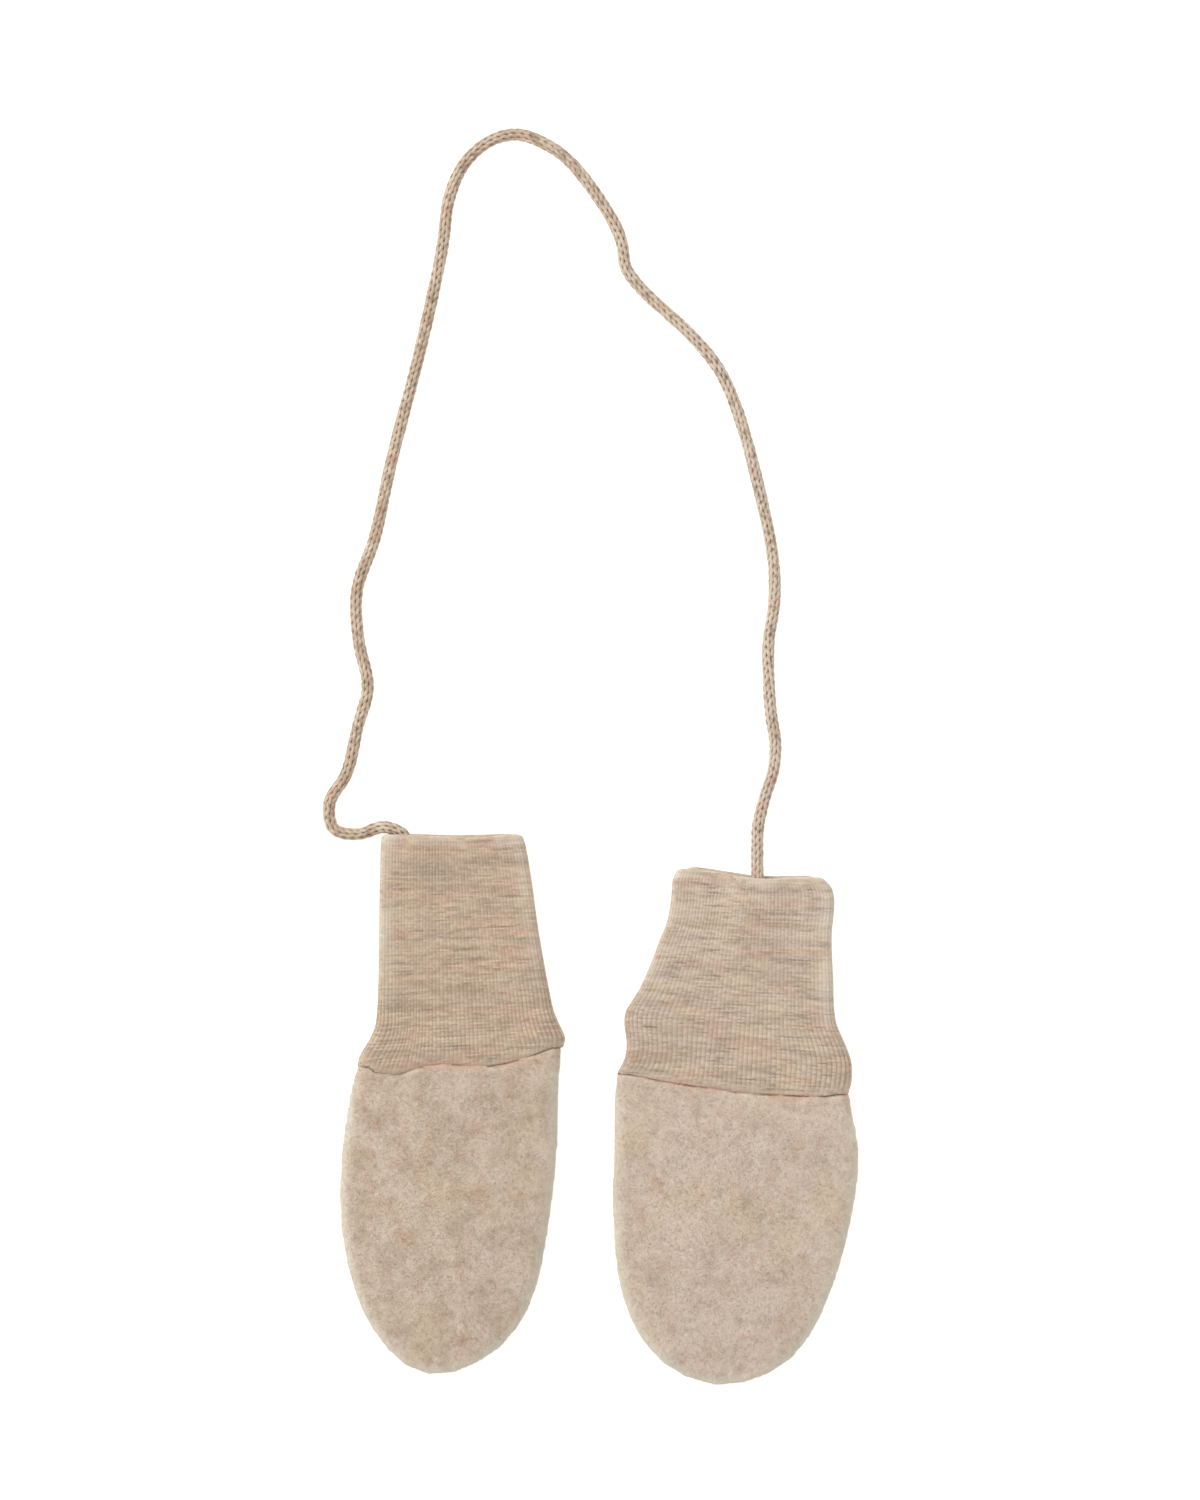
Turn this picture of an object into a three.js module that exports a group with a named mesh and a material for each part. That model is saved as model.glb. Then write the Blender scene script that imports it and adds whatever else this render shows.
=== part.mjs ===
// Pair of baby mittens laid flat on a table: two thumbless fleece pouches, each with a ribbed
// cuff, joined by one long knitted cord.
// Millimetres. X runs across the pair, Y from the closed tips to the cuffs, Z up from the table.
// The origin is on the table, in the middle of the two mittens.
import * as THREE from 'three';

// Fleece: the wall, the pouch's height at its rim ridge, and what the trapped air adds
const FLEECE_WALL = 3.0;
const POUCH_HEIGHT = 7.8;
const POUCH_CROWN = 1.0;
const CROWN_REACH = 30;
const RIM_RADIUS = 4.0;
const SEAM_HEIGHT = 3.95;
const SEAM_GAP = 0.3;

// The fleece's upper edge, pressed thin where it is sewn inside the cuff
const NECK_WALL = 1.3;
const NECK_BASE = 2.0;
const NECK_TOP = 5.6;
const NECK_RADIUS = 1.4;
const NECK_INSET = 2.2;
const NECK_SHOULDER = 1.3;
const NECK_RISE = 7;

// Cuff: a tube of rib knit folded double, so one wall is two layers, thinner where it is sewn
const RIB_WALL = 2.0;
const SEWN_WALL = 1.3;
const SEWN_TAPER = 0.82;
const RIBS_ACROSS = 50;
const RIB_HEIGHT = 0.35;
const RIB_FADE = 0.03;
const PLAIN_BAND = 0.965;

// Cord, and how the cuff's layers open round its sewn ends
const CORD_DIAMETER = 3.8;
const CORD_SIDES = 8;
const CORD_STEPS = 72;
const HUMP_HEIGHT = 2.7;
const HUMP_FADE = 9;
const HUMP_DEPTH = 7;
const HUMP_END = 20;
const PRESS_TOP = 0.4;
const PRESS_BOTTOM = 0.7;

// Rings of points from the rim inwards: fixed distances, then shares of what is left
const OUTER_RIM = [0, 0.35, 1.2, 2.4, 4.0];
const OUTER_SHARES = [0.12, 0.26, 0.42, 0.6, 0.8, 1];
const INNER_RIM = [0, 1.2];
const INNER_SHARES = [0.1, 0.26, 0.5, 0.75, 1];

// Rows of points down the pouch: distances below the cuff's edge, then shares of what is left
const NECK_ROWS = [-3.5, -1.0, 0, 0.3, 0.8, 1.6, 3.5, 7];
const BODY_SHARES = [0.08, 0.22, 0.4, 0.6, 0.8, 1];
const TIP_SPOKES = 13;
const OUTLINE_STEPS = 240;

// Sections of the cuff tube, as shares of its length
const CUFF_ROWS = [0, 0.05, 0.13, 0.25, 0.42, 0.6, 0.7, 0.78, 0.86, 0.93, 0.965, 1];
const CUFF_INNER_ROWS = [0, 0.1, 0.2, 0.34, 0.55, 0.72, 0.87, 0.95, 1];
const SIDE_COLUMNS = 5;
const BACK_COLUMNS = 16;
const INNER_COLUMNS = 36;
const INNER_SIDE_COLUMNS = 4;
const LAYER_SHARE = 0.44;

const FLEECE_COLOUR = 0xc6b29e;
const RIB_COLOUR = 0xbfab96;
const CORD_COLOUR = 0xc2ae9a;

// Each mitten. outline: the pouch's two edges at heights y, from the tip up. cuff: its two edges
// and its thickness, down from the wrist (0) to the sewn edge (1). mouth and lip: the wrist edge of
// each layer and the sewn edge, at shares across. folds: soft ridges (+) and troughs (-).
const MITTENS = [
  {
    name: 'left',
    tip: { x: -52.2, y: -85.3 },
    spineEnd: { x: -50.5, y: -50 },
    outline: [
      { y: -83.9, left: -59.2, right: -44.6 },
      { y: -81.6, left: -63.2, right: -39.8 },
      { y: -77.8, left: -67.4, right: -33.6 },
      { y: -72.0, left: -72.0, right: -27.6 },
      { y: -64.3, left: -76.4, right: -22.8 },
      { y: -52.8, left: -80.3, right: -18.9 },
      { y: -41.3, left: -82.8, right: -16.8 },
      { y: -27.0, left: -83.5, right: -14.7 },
      { y: -12.0, left: -82.8, right: -13.4 },
      { y: 4.8, left: -80.2, right: -13.0 },
      { y: 14.0, left: -78.0, right: -12.5 },
      { y: 17.0, left: -77.3, right: -12.2 },
      { y: 20.4, left: -75.7, right: -12.0 },
      { y: 27.0, left: -73.6, right: -12.1 },
    ],
    cuff: [
      { down: 0.0, left: -69.9, right: -25.3, height: 4.8 },
      { down: 0.03, left: -70.2, right: -24.3, height: 4.8 },
      { down: 0.2, left: -70.6, right: -22.4, height: 4.8 },
      { down: 0.43, left: -70.9, right: -20.2, height: 4.9 },
      { down: 0.6, left: -71.0, right: -18.2, height: 5.0 },
      { down: 0.74, left: -71.4, right: -16.5, height: 5.3 },
      { down: 0.83, left: -72.2, right: -15.0, height: 6.2 },
      { down: 0.89, left: -73.6, right: -13.4, height: 7.3 },
      { down: 0.94, left: -75.5, right: -11.8, height: 7.9 },
      { down: 0.97, left: -76.8, right: -11.2, height: 8.1 },
      { down: 1.0, left: -77.4, right: -11.6, height: 7.8 },
    ],
    mouth: [
      { across: 0, front: 87.9, back: 87.9 },
      { across: 0.15, front: 87.8, back: 88.0 },
      { across: 0.45, front: 87.2, back: 87.8 },
      { across: 0.8, front: 87.1, back: 87.7 },
      { across: 0.94, front: 87.3, back: 87.6 },
      { across: 1, front: 86.7, back: 86.7 },
    ],
    lip: [
      { across: 0, y: 16.8 },
      { across: 0.07, y: 12.8 },
      { across: 0.16, y: 10.7 },
      { across: 0.26, y: 11.8 },
      { across: 0.36, y: 13.4 },
      { across: 0.5, y: 13.8 },
      { across: 0.64, y: 13.3 },
      { across: 0.76, y: 15.0 },
      { across: 0.88, y: 17.9 },
      { across: 1, y: 20.9 },
    ],
    hump: { x: -62.9, flat: 3.4 },
    cuffFolds: [
      { x: -68.5, y: 17, angle: 118, length: 24, width: 7, depth: 0.7 },
      { x: -19.0, y: 27, angle: 52, length: 26, width: 8, depth: 0.6 },
      { x: -45.0, y: 24, angle: 88, length: 22, width: 9, depth: 0.4 },
      { x: -47.0, y: 62, angle: 174, length: 34, width: 10, depth: 0.4 },
    ],
    pouchFolds: [
      { x: -24.0, y: 6, angle: 20, length: 26, width: 8, depth: 0.7 },
      { x: -20.5, y: -8, angle: 80, length: 36, width: 7, depth: -0.6 },
      { x: -66.0, y: -2, angle: 112, length: 30, width: 9, depth: -0.5 },
      { x: -48.8, y: -79, angle: 96, length: 14, width: 4, depth: -1.1 },
      { x: -57.5, y: -74, angle: 62, length: 16, width: 6, depth: -0.6 },
      { x: -38.0, y: -56, angle: 128, length: 34, width: 12, depth: -0.5 },
    ],
  },
  {
    name: 'right',
    tip: { x: 39.2, y: -88.6 },
    spineEnd: { x: 41.0, y: -50 },
    outline: [
      { y: -87.4, left: 31.3, right: 47.4 },
      { y: -85.2, left: 26.0, right: 53.2 },
      { y: -81.6, left: 20.2, right: 59.4 },
      { y: -75.8, left: 14.5, right: 65.2 },
      { y: -67.0, left: 9.4, right: 70.4 },
      { y: -56.6, left: 6.0, right: 74.7 },
      { y: -45.1, left: 4.4, right: 78.4 },
      { y: -30.0, left: 3.7, right: 81.6 },
      { y: -16.3, left: 4.0, right: 83.2 },
      { y: -6.0, left: 4.2, right: 82.0 },
      { y: 1.0, left: 4.3, right: 80.4 },
      { y: 8.0, left: 4.8, right: 79.8 },
      { y: 11.6, left: 5.4, right: 79.8 },
      { y: 14.0, left: 6.3, right: 79.7 },
      { y: 18.0, left: 7.6, right: 79.6 },
    ],
    cuff: [
      { down: 0.0, left: 24.3, right: 71.6, height: 4.8 },
      { down: 0.02, left: 23.5, right: 73.1, height: 4.8 },
      { down: 0.05, left: 23.0, right: 74.4, height: 4.8 },
      { down: 0.1, left: 22.7, right: 75.2, height: 4.8 },
      { down: 0.16, left: 22.3, right: 75.0, height: 4.8 },
      { down: 0.25, left: 21.2, right: 74.4, height: 4.8 },
      { down: 0.34, left: 18.9, right: 74.4, height: 4.8 },
      { down: 0.46, left: 16.0, right: 74.8, height: 4.9 },
      { down: 0.58, left: 12.6, right: 75.0, height: 5.1 },
      { down: 0.66, left: 9.4, right: 75.5, height: 5.4 },
      { down: 0.7, left: 8.1, right: 76.3, height: 5.7 },
      { down: 0.75, left: 7.6, right: 77.8, height: 6.0 },
      { down: 0.81, left: 7.8, right: 79.5, height: 6.4 },
      { down: 0.86, left: 7.9, right: 80.5, height: 7.0 },
      { down: 0.92, left: 7.5, right: 80.7, height: 7.8 },
      { down: 0.96, left: 6.6, right: 80.4, height: 8.1 },
      { down: 1.0, left: 5.3, right: 79.8, height: 7.8 },
    ],
    mouth: [
      { across: 0, front: 76.5, back: 76.5 },
      { across: 0.05, front: 76.9, back: 77.1 },
      { across: 0.15, front: 76.3, back: 76.7 },
      { across: 0.35, front: 74.9, back: 75.7 },
      { across: 0.5, front: 74.0, back: 74.8 },
      { across: 0.65, front: 73.8, back: 74.4 },
      { across: 0.86, front: 74.2, back: 74.6 },
      { across: 0.95, front: 73.8, back: 74.0 },
      { across: 1, front: 72.7, back: 72.7 },
    ],
    lip: [
      { across: 0, y: 11.6 },
      { across: 0.15, y: 8.6 },
      { across: 0.32, y: 5.5 },
      { across: 0.45, y: 4.7 },
      { across: 0.62, y: 3.8 },
      { across: 0.79, y: 3.5 },
      { across: 0.94, y: 3.8 },
      { across: 1, y: 5.0 },
    ],
    hump: { x: 50.4, flat: 1.6 },
    cuffFolds: [
      { x: 15.5, y: 26, angle: 148, length: 24, width: 7, depth: 0.8 },
      { x: 14.0, y: 15, angle: 172, length: 24, width: 6, depth: 0.5 },
      { x: 74.0, y: 17, angle: 112, length: 24, width: 8, depth: 0.6 },
      { x: 46.0, y: 52, angle: 176, length: 40, width: 10, depth: 0.4 },
    ],
    pouchFolds: [
      { x: 22.0, y: 0, angle: 164, length: 30, width: 8, depth: -0.6 },
      { x: 70.0, y: -2, angle: 108, length: 24, width: 7, depth: -0.7 },
      { x: 45.8, y: -83, angle: 66, length: 13, width: 4, depth: -1.1 },
      { x: 33.0, y: -78, angle: 112, length: 16, width: 6, depth: -0.6 },
      { x: 52.0, y: -44, angle: 44, length: 34, width: 12, depth: -0.5 },
      { x: 14.0, y: -20, angle: 92, length: 40, width: 8, depth: -0.4 },
    ],
  },
];

// The cord's middle line as it lies, from its sewn end in the right cuff to the left one
const CORD_ROUTE = [
  [50.4, 66.6, 3.5], [50.4, 72.8, 3.5], [50.3, 80.0, 2.6], [50.6, 90.4, 1.92], [52.6, 99.2, 1.92],
  [55.5, 108.5, 1.92], [56.1, 117.0, 1.92], [54.6, 127.5, 1.92], [53.9, 149.0, 1.92],
  [55.7, 161.5, 1.92], [55.5, 175.0, 1.92], [50.4, 200.5, 1.92], [43.7, 224.2, 1.92],
  [37.8, 237.1, 1.92], [29.4, 247.4, 1.92], [12.8, 263.0, 1.92], [8.2, 269.6, 1.92],
  [7.0, 277.0, 1.92], [3.9, 284.6, 1.92], [-9.3, 302.9, 1.92], [-17.6, 309.0, 1.92],
  [-26.9, 312.0, 1.92], [-35.8, 309.6, 1.92], [-43.8, 302.1, 1.92], [-48.5, 290.9, 1.92],
  [-50.3, 277.0, 1.92], [-57.4, 243.8, 1.92], [-66.9, 207.0, 1.92], [-72.1, 183.0, 1.92],
  [-77.9, 165.6, 1.92], [-77.2, 149.4, 1.92], [-74.4, 135.0, 1.92], [-77.6, 122.4, 1.92],
  [-81.2, 107.4, 1.92], [-86.6, 98.0, 1.92], [-85.2, 89.6, 1.92], [-77.4, 88.0, 2.0],
  [-69.2, 90.3, 2.9], [-62.9, 87.6, 3.5], [-60.8, 79.6, 3.5],
];

const clamp = (value) => Math.min(Math.max(value, 0), 1);
const mix = (from, to, share) => from + (to - from) * share;
const ease = (share) => clamp(share) ** 2 * (3 - 2 * clamp(share));
const quarterRound = (share) => Math.sqrt(1 - (1 - clamp(share)) ** 2);

// One column of a table at a place between its rows, on a smooth curve through them
function along(rows, key, column, at) {
  const last = rows.length - 1;
  if (at <= rows[0][key]) return rows[0][column];
  if (at >= rows[last][key]) return rows[last][column];
  let row = 0;
  while (rows[row + 1][key] < at) row += 1;
  const slope = (k) => {
    const low = rows[Math.max(k - 1, 0)];
    const high = rows[Math.min(k + 1, last)];
    return (high[column] - low[column]) / (high[key] - low[key]);
  };
  const span = rows[row + 1][key] - rows[row][key];
  const t = (at - rows[row][key]) / span;
  const start = rows[row][column] * (1 + 2 * t) * (1 - t) ** 2;
  const end = rows[row + 1][column] * t * t * (3 - 2 * t);
  return start + end + span * (slope(row) * t * (1 - t) ** 2 - slope(row + 1) * t * t * (1 - t));
}

// Height that the soft ridges and troughs add at a place
function foldHeight(folds, x, y) {
  let height = 0;
  for (const fold of folds) {
    const turn = THREE.MathUtils.degToRad(fold.angle);
    const dx = x - fold.x;
    const dy = y - fold.y;
    const lengthwise = (dx * Math.cos(turn) + dy * Math.sin(turn)) / (fold.length / 2);
    const crosswise = (dy * Math.cos(turn) - dx * Math.sin(turn)) / (fold.width / 2);
    height += fold.depth * Math.exp(-(crosswise ** 2)) * ease(1 - Math.abs(lengthwise));
  }
  return height;
}

// Triangles gathered as loose corners, facing out
class Skin {
  constructor() {
    this.corners = [];
  }

  triangle(a, b, c) {
    for (const point of [a, b, c]) this.corners.push(point[0], point[1], point[2]);
  }

  quad(a, b, c, d) {
    this.triangle(a, b, c);
    this.triangle(a, c, d);
  }

  // Two lines of points with as many points each, joined by quads
  strip(first, second) {
    for (let i = 0; i + 1 < first.length; i += 1) {
      this.quad(first[i], second[i], second[i + 1], first[i + 1]);
    }
  }

  // Two lines with different numbers of points, joined at like shares of their length. turned
  // says which way the ribbon faces.
  ribbon(first, firstShares, second, secondShares, turned) {
    let i = 0;
    let j = 0;
    while (i < first.length - 1 || j < second.length - 1) {
      const nextFirst = i < first.length - 1 ? firstShares[i + 1] : Infinity;
      const nextSecond = j < second.length - 1 ? secondShares[j + 1] : Infinity;
      const [a, b] = [first[i], second[j]];
      const alongFirst = nextFirst <= nextSecond;
      if (alongFirst) i += 1;
      else j += 1;
      const c = alongFirst ? first[i] : second[j];
      if (turned) this.triangle(a, c, b);
      else this.triangle(a, b, c);
    }
  }

  // The same between two closed rings
  collar(first, firstShares, second, secondShares, turned) {
    const close = (points) => [...points, points[0]];
    this.ribbon(close(first), [...firstShares, 1], close(second), [...secondShares, 1], turned);
  }

  mesh(name, colour) {
    const geometry = new THREE.BufferGeometry();
    const whole = this.corners.filter((_, index) => {
      const start = index - (index % 9);
      const corner = (k) => this.corners.slice(start + 3 * k, start + 3 * k + 3).join();
      return corner(0) !== corner(1) && corner(1) !== corner(2) && corner(2) !== corner(0);
    });
    geometry.setAttribute('position', new THREE.Float32BufferAttribute(whole, 3));
    geometry.computeVertexNormals();
    return named(geometry, name, colour);
  }
}

function named(geometry, name, colour) {
  const material = new THREE.MeshStandardMaterial({ color: colour, roughness: 0.95, metalness: 0 });
  const mesh = new THREE.Mesh(geometry, material);
  mesh.name = name;
  return mesh;
}

// The pouch's outline from the open end down the left edge, round the tip and up the right edge
function pouchOutline(mitten) {
  const up = mitten.outline;
  const points = [...up].reverse().map((row) => new THREE.Vector3(row.left, row.y, 0));
  points.push(new THREE.Vector3(mitten.tip.x, mitten.tip.y, 0));
  up.forEach((row) => points.push(new THREE.Vector3(row.right, row.y, 0)));
  return new THREE.CatmullRomCurve3(points, false, 'centripetal').getSpacedPoints(OUTLINE_STEPS);
}

// Where one edge of the outline passes a height
function edgeAt(line, y) {
  for (let i = 0; i + 1 < line.length; i += 1) {
    const low = Math.min(line[i].y, line[i + 1].y);
    const high = Math.max(line[i].y, line[i + 1].y);
    if (y >= low && y <= high && high > low) {
      return mix(line[i].x, line[i + 1].x, (y - line[i].y) / (line[i + 1].y - line[i].y));
    }
  }
  return line[0].x;
}

// Spokes of the pouch, each from a rim point to the middle: down the left side, round the tip and
// up the right side. below is how far a point lies below the cuff's edge.
function pouchSpokes(mitten) {
  const line = pouchOutline(mitten);
  const tipIndex = line.reduce((best, point, i) => (point.y < line[best].y ? i : best), 0);
  const leftLine = line.slice(0, tipIndex + 1);
  const rightLine = line.slice(tipIndex).reverse();
  const lipY = (share) => along(mitten.lip, 'across', 'y', share);
  const end = mitten.spineEnd;
  const lastNeckRow = NECK_ROWS[NECK_ROWS.length - 1];
  const rows = [
    ...NECK_ROWS.map((below) => ({ below, share: 0 })),
    ...BODY_SHARES.map((share) => ({ below: lastNeckRow, share })),
  ];
  const heightAt = (row, share) => mix(lipY(share) - row.below, end.y, row.share);
  const insetAt = (below) => NECK_INSET * (1 - quarterRound(below / NECK_SHOULDER));
  const sides = rows.map((row) => {
    const leftY = heightAt(row, 0);
    const rightY = heightAt(row, 1);
    const inset = row.share > 0 ? 0 : insetAt(row.below);
    const leftX = edgeAt(leftLine, leftY) + inset;
    const rightX = edgeAt(rightLine, rightY) - inset;
    const middle = mix(0.5, (end.x - leftX) / (rightX - leftX), row.share);
    return { row, leftX, rightX, middle };
  });
  const place = ({ row, leftX, rightX }, share) => {
    const y = heightAt(row, share);
    return { x: mix(leftX, rightX, share), y, below: lipY(share) - y };
  };
  const spokes = sides.map((side) => ({
    width: (side.rightX - side.leftX) * side.middle,
    at: (share) => place(side, side.middle * share),
  }));
  const turn = (point) => Math.atan2(point.y - end.y, point.x - end.x);
  const round = line.filter((point) => point.y < end.y);
  for (let i = 1; i < TIP_SPOKES; i += 1) {
    const wanted = -Math.PI + (Math.PI * i) / TIP_SPOKES;
    const rim = round.reduce((best, point) => (
      Math.abs(turn(point) - wanted) < Math.abs(turn(best) - wanted) ? point : best));
    spokes.push({
      width: Math.hypot(rim.x - end.x, rim.y - end.y),
      at: (share) => ({ x: mix(rim.x, end.x, share), y: mix(rim.y, end.y, share), below: Infinity }),
    });
  }
  [...sides].reverse().forEach((side) => spokes.push({
    width: (side.rightX - side.leftX) * (1 - side.middle),
    at: (share) => place(side, 1 - (1 - side.middle) * share),
  }));
  return spokes;
}

// Heights of a panel's two faces at a distance in from its rim and below the cuff's edge
function panelHeights(isFront, distance, below, fold) {
  const full = quarterRound(below / NECK_RISE);
  const wall = mix(NECK_WALL, FLEECE_WALL, full);
  const radius = mix(NECK_RADIUS, RIM_RADIUS, full);
  const bend = quarterRound(distance / radius);
  const innerBend = quarterRound((distance - wall) / radius);
  const middle = ease(distance / radius);
  if (isFront) {
    const seam = SEAM_HEIGHT + SEAM_GAP / 2;
    const top = mix(NECK_TOP, POUCH_HEIGHT, full);
    const crown = POUCH_CROWN * full * (1 - (1 - clamp(distance / CROWN_REACH)) ** 2);
    const rise = (crown + fold * full) * middle;
    const inner = (Math.max(top - wall - seam, 0) + rise) * innerBend;
    return { outer: seam + (top - seam) * bend + rise, inner: seam + Math.max(inner, 0) };
  }
  const seam = SEAM_HEIGHT - SEAM_GAP / 2;
  const base = mix(NECK_BASE, 0, full);
  return { outer: mix(seam, base, bend), inner: mix(seam, Math.min(base + wall, seam), innerBend) };
}

// One fleece panel: an outer and an inner skin over the same spokes, closed at the seam face and
// at the open end
function pouchPanel(mitten, isFront) {
  const spokes = pouchSpokes(mitten);
  const folds = isFront ? mitten.pouchFolds : [];
  const ring = (spoke, distance, face) => {
    const spot = spoke.at(distance / spoke.width);
    const fold = foldHeight(folds, spot.x, spot.y);
    return [spot.x, spot.y, panelHeights(isFront, distance, spot.below, fold)[face]];
  };
  const distances = (spoke, rim, shares, start) => {
    const near = rim.map((distance) => start + distance);
    const last = near[near.length - 1];
    return [...near, ...shares.map((share) => mix(last, spoke.width, share))];
  };
  const outer = spokes.map((spoke) => (
    distances(spoke, OUTER_RIM, OUTER_SHARES, 0).map((distance) => ring(spoke, distance, 'outer'))));
  const inner = spokes.map((spoke) => {
    const wall = mix(NECK_WALL, FLEECE_WALL, quarterRound(spoke.at(0).below / NECK_RISE));
    const all = distances(spoke, INNER_RIM, INNER_SHARES, wall);
    return all.map((distance) => ring(spoke, distance, 'inner'));
  });
  const skin = new Skin();
  const join = isFront ? (a, b) => skin.strip(a, b) : (a, b) => skin.strip(b, a);
  const lastSpoke = spokes.length - 1;
  for (let i = 0; i < lastSpoke; i += 1) {
    join(outer[i], outer[i + 1]);
    join(inner[i + 1], inner[i]);
  }
  const rimOf = (faces) => faces.map((points) => points[0]);
  join(rimOf(outer), rimOf(inner));
  const across = (faces) => [...faces[0], ...[...faces[lastSpoke]].reverse().slice(1)];
  const shares = (points) => points.map((point) => (
    (point[0] - points[0][0]) / (points[points.length - 1][0] - points[0][0])));
  const [outerEnd, innerEnd] = [across(outer), across(inner)];
  skin.ribbon(outerEnd, shares(outerEnd), innerEnd, shares(innerEnd), isFront);
  return skin.mesh(`${mitten.name}_pouch_${isFront ? 'front' : 'back'}`, FLEECE_COLOUR);
}

// Columns round the flattened cuff tube: across the front, round the right fold, back across
// underneath and round the left fold. raised marks the ridge of a rib.
function cuffColumns(front, side, back, ribbed) {
  const columns = [];
  for (let i = 0; i <= front; i += 1) {
    columns.push({ layer: 'front', across: i / front, raised: ribbed && i % 2 === 1 });
  }
  for (let i = 1; i < side; i += 1) {
    columns.push({ layer: 'fold', across: 1, turn: (Math.PI * i) / side });
  }
  for (let i = 0; i <= back; i += 1) columns.push({ layer: 'back', across: 1 - i / back });
  for (let i = 1; i < side; i += 1) {
    columns.push({ layer: 'fold', across: 0, turn: Math.PI - (Math.PI * i) / side });
  }
  return columns;
}

// The cuff wall's thickness at a share of its length
const wallAt = (down) => (
  mix(RIB_WALL, SEWN_WALL, ease((down - SEWN_TAPER) / (1 - SEWN_TAPER))));

// One point of the cuff: down its length, depth 0 on the outside to 1 on the inside, and reach
// past the wall's end for the rounded edges
function cuffPoint(mitten, column, down, depth, reach) {
  const row = (name) => along(mitten.cuff, 'down', name, down);
  const height = row('height');
  const wall = wallAt(down);
  const left = row('left') + depth * wall;
  const right = row('right') - depth * wall;
  const radius = height / 2 - depth * wall;
  const x = mix(left + radius, right - radius, column.across);
  const mouthOf = (side) => along(mitten.mouth, 'across', side, column.across);
  const mouth = column.layer === 'back' ? mouthOf('back') : mouthOf('front');
  const lip = along(mitten.lip, 'across', 'y', column.across);
  const y = mix(mouth - RIB_WALL / 2, lip + SEWN_WALL / 2, down) + reach;
  const beyondFlat = (Math.abs(x - mitten.hump.x) - mitten.hump.flat) / HUMP_FADE;
  const deep = (mouth - y - HUMP_DEPTH) / (HUMP_END - HUMP_DEPTH);
  const open = ease(1 - beyondFlat) * ease(1 - deep);
  const fold = foldHeight(mitten.cuffFolds, x, y) * ease(down / RIB_FADE) * ease((1 - down) * 20);
  const top = height + fold + HUMP_HEIGHT * open - depth * (wall - PRESS_TOP * open);
  const base = depth * (wall - PRESS_BOTTOM * open);
  if (column.layer === 'back') return [x, y, base];
  if (column.layer === 'fold') {
    const side = column.across === 1 ? 1 : -1;
    const middle = (top + base) / 2;
    const half = (top - base) / 2;
    return [x + side * radius * Math.sin(column.turn), y, middle + half * Math.cos(column.turn)];
  }
  const atEdges = ease(column.across / RIB_FADE) * ease((1 - column.across) / RIB_FADE);
  const inBand = ease(down / RIB_FADE) * (down < PLAIN_BAND ? 1 : 0);
  const rib = column.raised ? RIB_HEIGHT * atEdges * inBand : 0;
  return [x, y, top + rib];
}

// The cuff: a ribbed outer skin and a plain inner one, joined by rounded edges at both ends
function cuff(mitten) {
  const outerColumns = cuffColumns(2 * RIBS_ACROSS, SIDE_COLUMNS, BACK_COLUMNS, true);
  const innerColumns = cuffColumns(INNER_COLUMNS, INNER_SIDE_COLUMNS, BACK_COLUMNS, false);
  const ring = (columns, down, depth, reach) => (
    columns.map((column) => cuffPoint(mitten, column, down, depth, reach)));
  const closed = (points) => [...points, points[0]];
  const sharesOf = (columns) => columns.map((column) => {
    if (column.layer === 'front') return LAYER_SHARE * column.across;
    if (column.layer === 'back') return 0.5 + LAYER_SHARE * (1 - column.across);
    const turned = column.turn / Math.PI;
    return column.across === 1 ? mix(LAYER_SHARE, 0.5, turned) : mix(1, 0.5 + LAYER_SHARE, turned);
  });
  const skin = new Skin();
  const outer = CUFF_ROWS.map((down) => ring(outerColumns, down, 0, 0));
  const inner = CUFF_INNER_ROWS.map((down) => ring(innerColumns, down, 1, 0));
  for (let i = 0; i + 1 < outer.length; i += 1) skin.strip(closed(outer[i]), closed(outer[i + 1]));
  for (let i = 0; i + 1 < inner.length; i += 1) skin.strip(closed(inner[i + 1]), closed(inner[i]));
  const outerShares = sharesOf(outerColumns);
  const innerShares = sharesOf(innerColumns);
  const wristEdge = ring(outerColumns, 0, 0.5, RIB_WALL / 2);
  skin.strip(closed(wristEdge), closed(outer[0]));
  skin.collar(wristEdge, outerShares, inner[0], innerShares, true);
  const sewnEdge = ring(outerColumns, 1, 0.5, -SEWN_WALL / 2);
  skin.strip(closed(outer[outer.length - 1]), closed(sewnEdge));
  skin.collar(sewnEdge, outerShares, inner[inner.length - 1], innerShares, false);
  return skin.mesh(`${mitten.name}_cuff`, RIB_COLOUR);
}

function cord() {
  const route = new THREE.CatmullRomCurve3(
    CORD_ROUTE.map((point) => new THREE.Vector3(...point)), false, 'centripetal');
  const section = new THREE.Shape();
  for (let i = 0; i < CORD_SIDES; i += 1) {
    const turn = (2 * Math.PI * (i + 0.5)) / CORD_SIDES;
    const across = (CORD_DIAMETER / 2) * Math.cos(turn);
    const up = (CORD_DIAMETER / 2) * Math.sin(turn);
    if (i === 0) section.moveTo(across, up);
    else section.lineTo(across, up);
  }
  const geometry = new THREE.ExtrudeGeometry(section, {
    steps: CORD_STEPS, bevelEnabled: false, extrudePath: route,
  });
  return named(geometry, 'cord', CORD_COLOUR);
}

const group = new THREE.Group();
group.name = 'baby_mittens';
for (const mitten of MITTENS) {
  group.add(pouchPanel(mitten, true), pouchPanel(mitten, false), cuff(mitten));
}
group.add(cord());

export default group;
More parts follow.
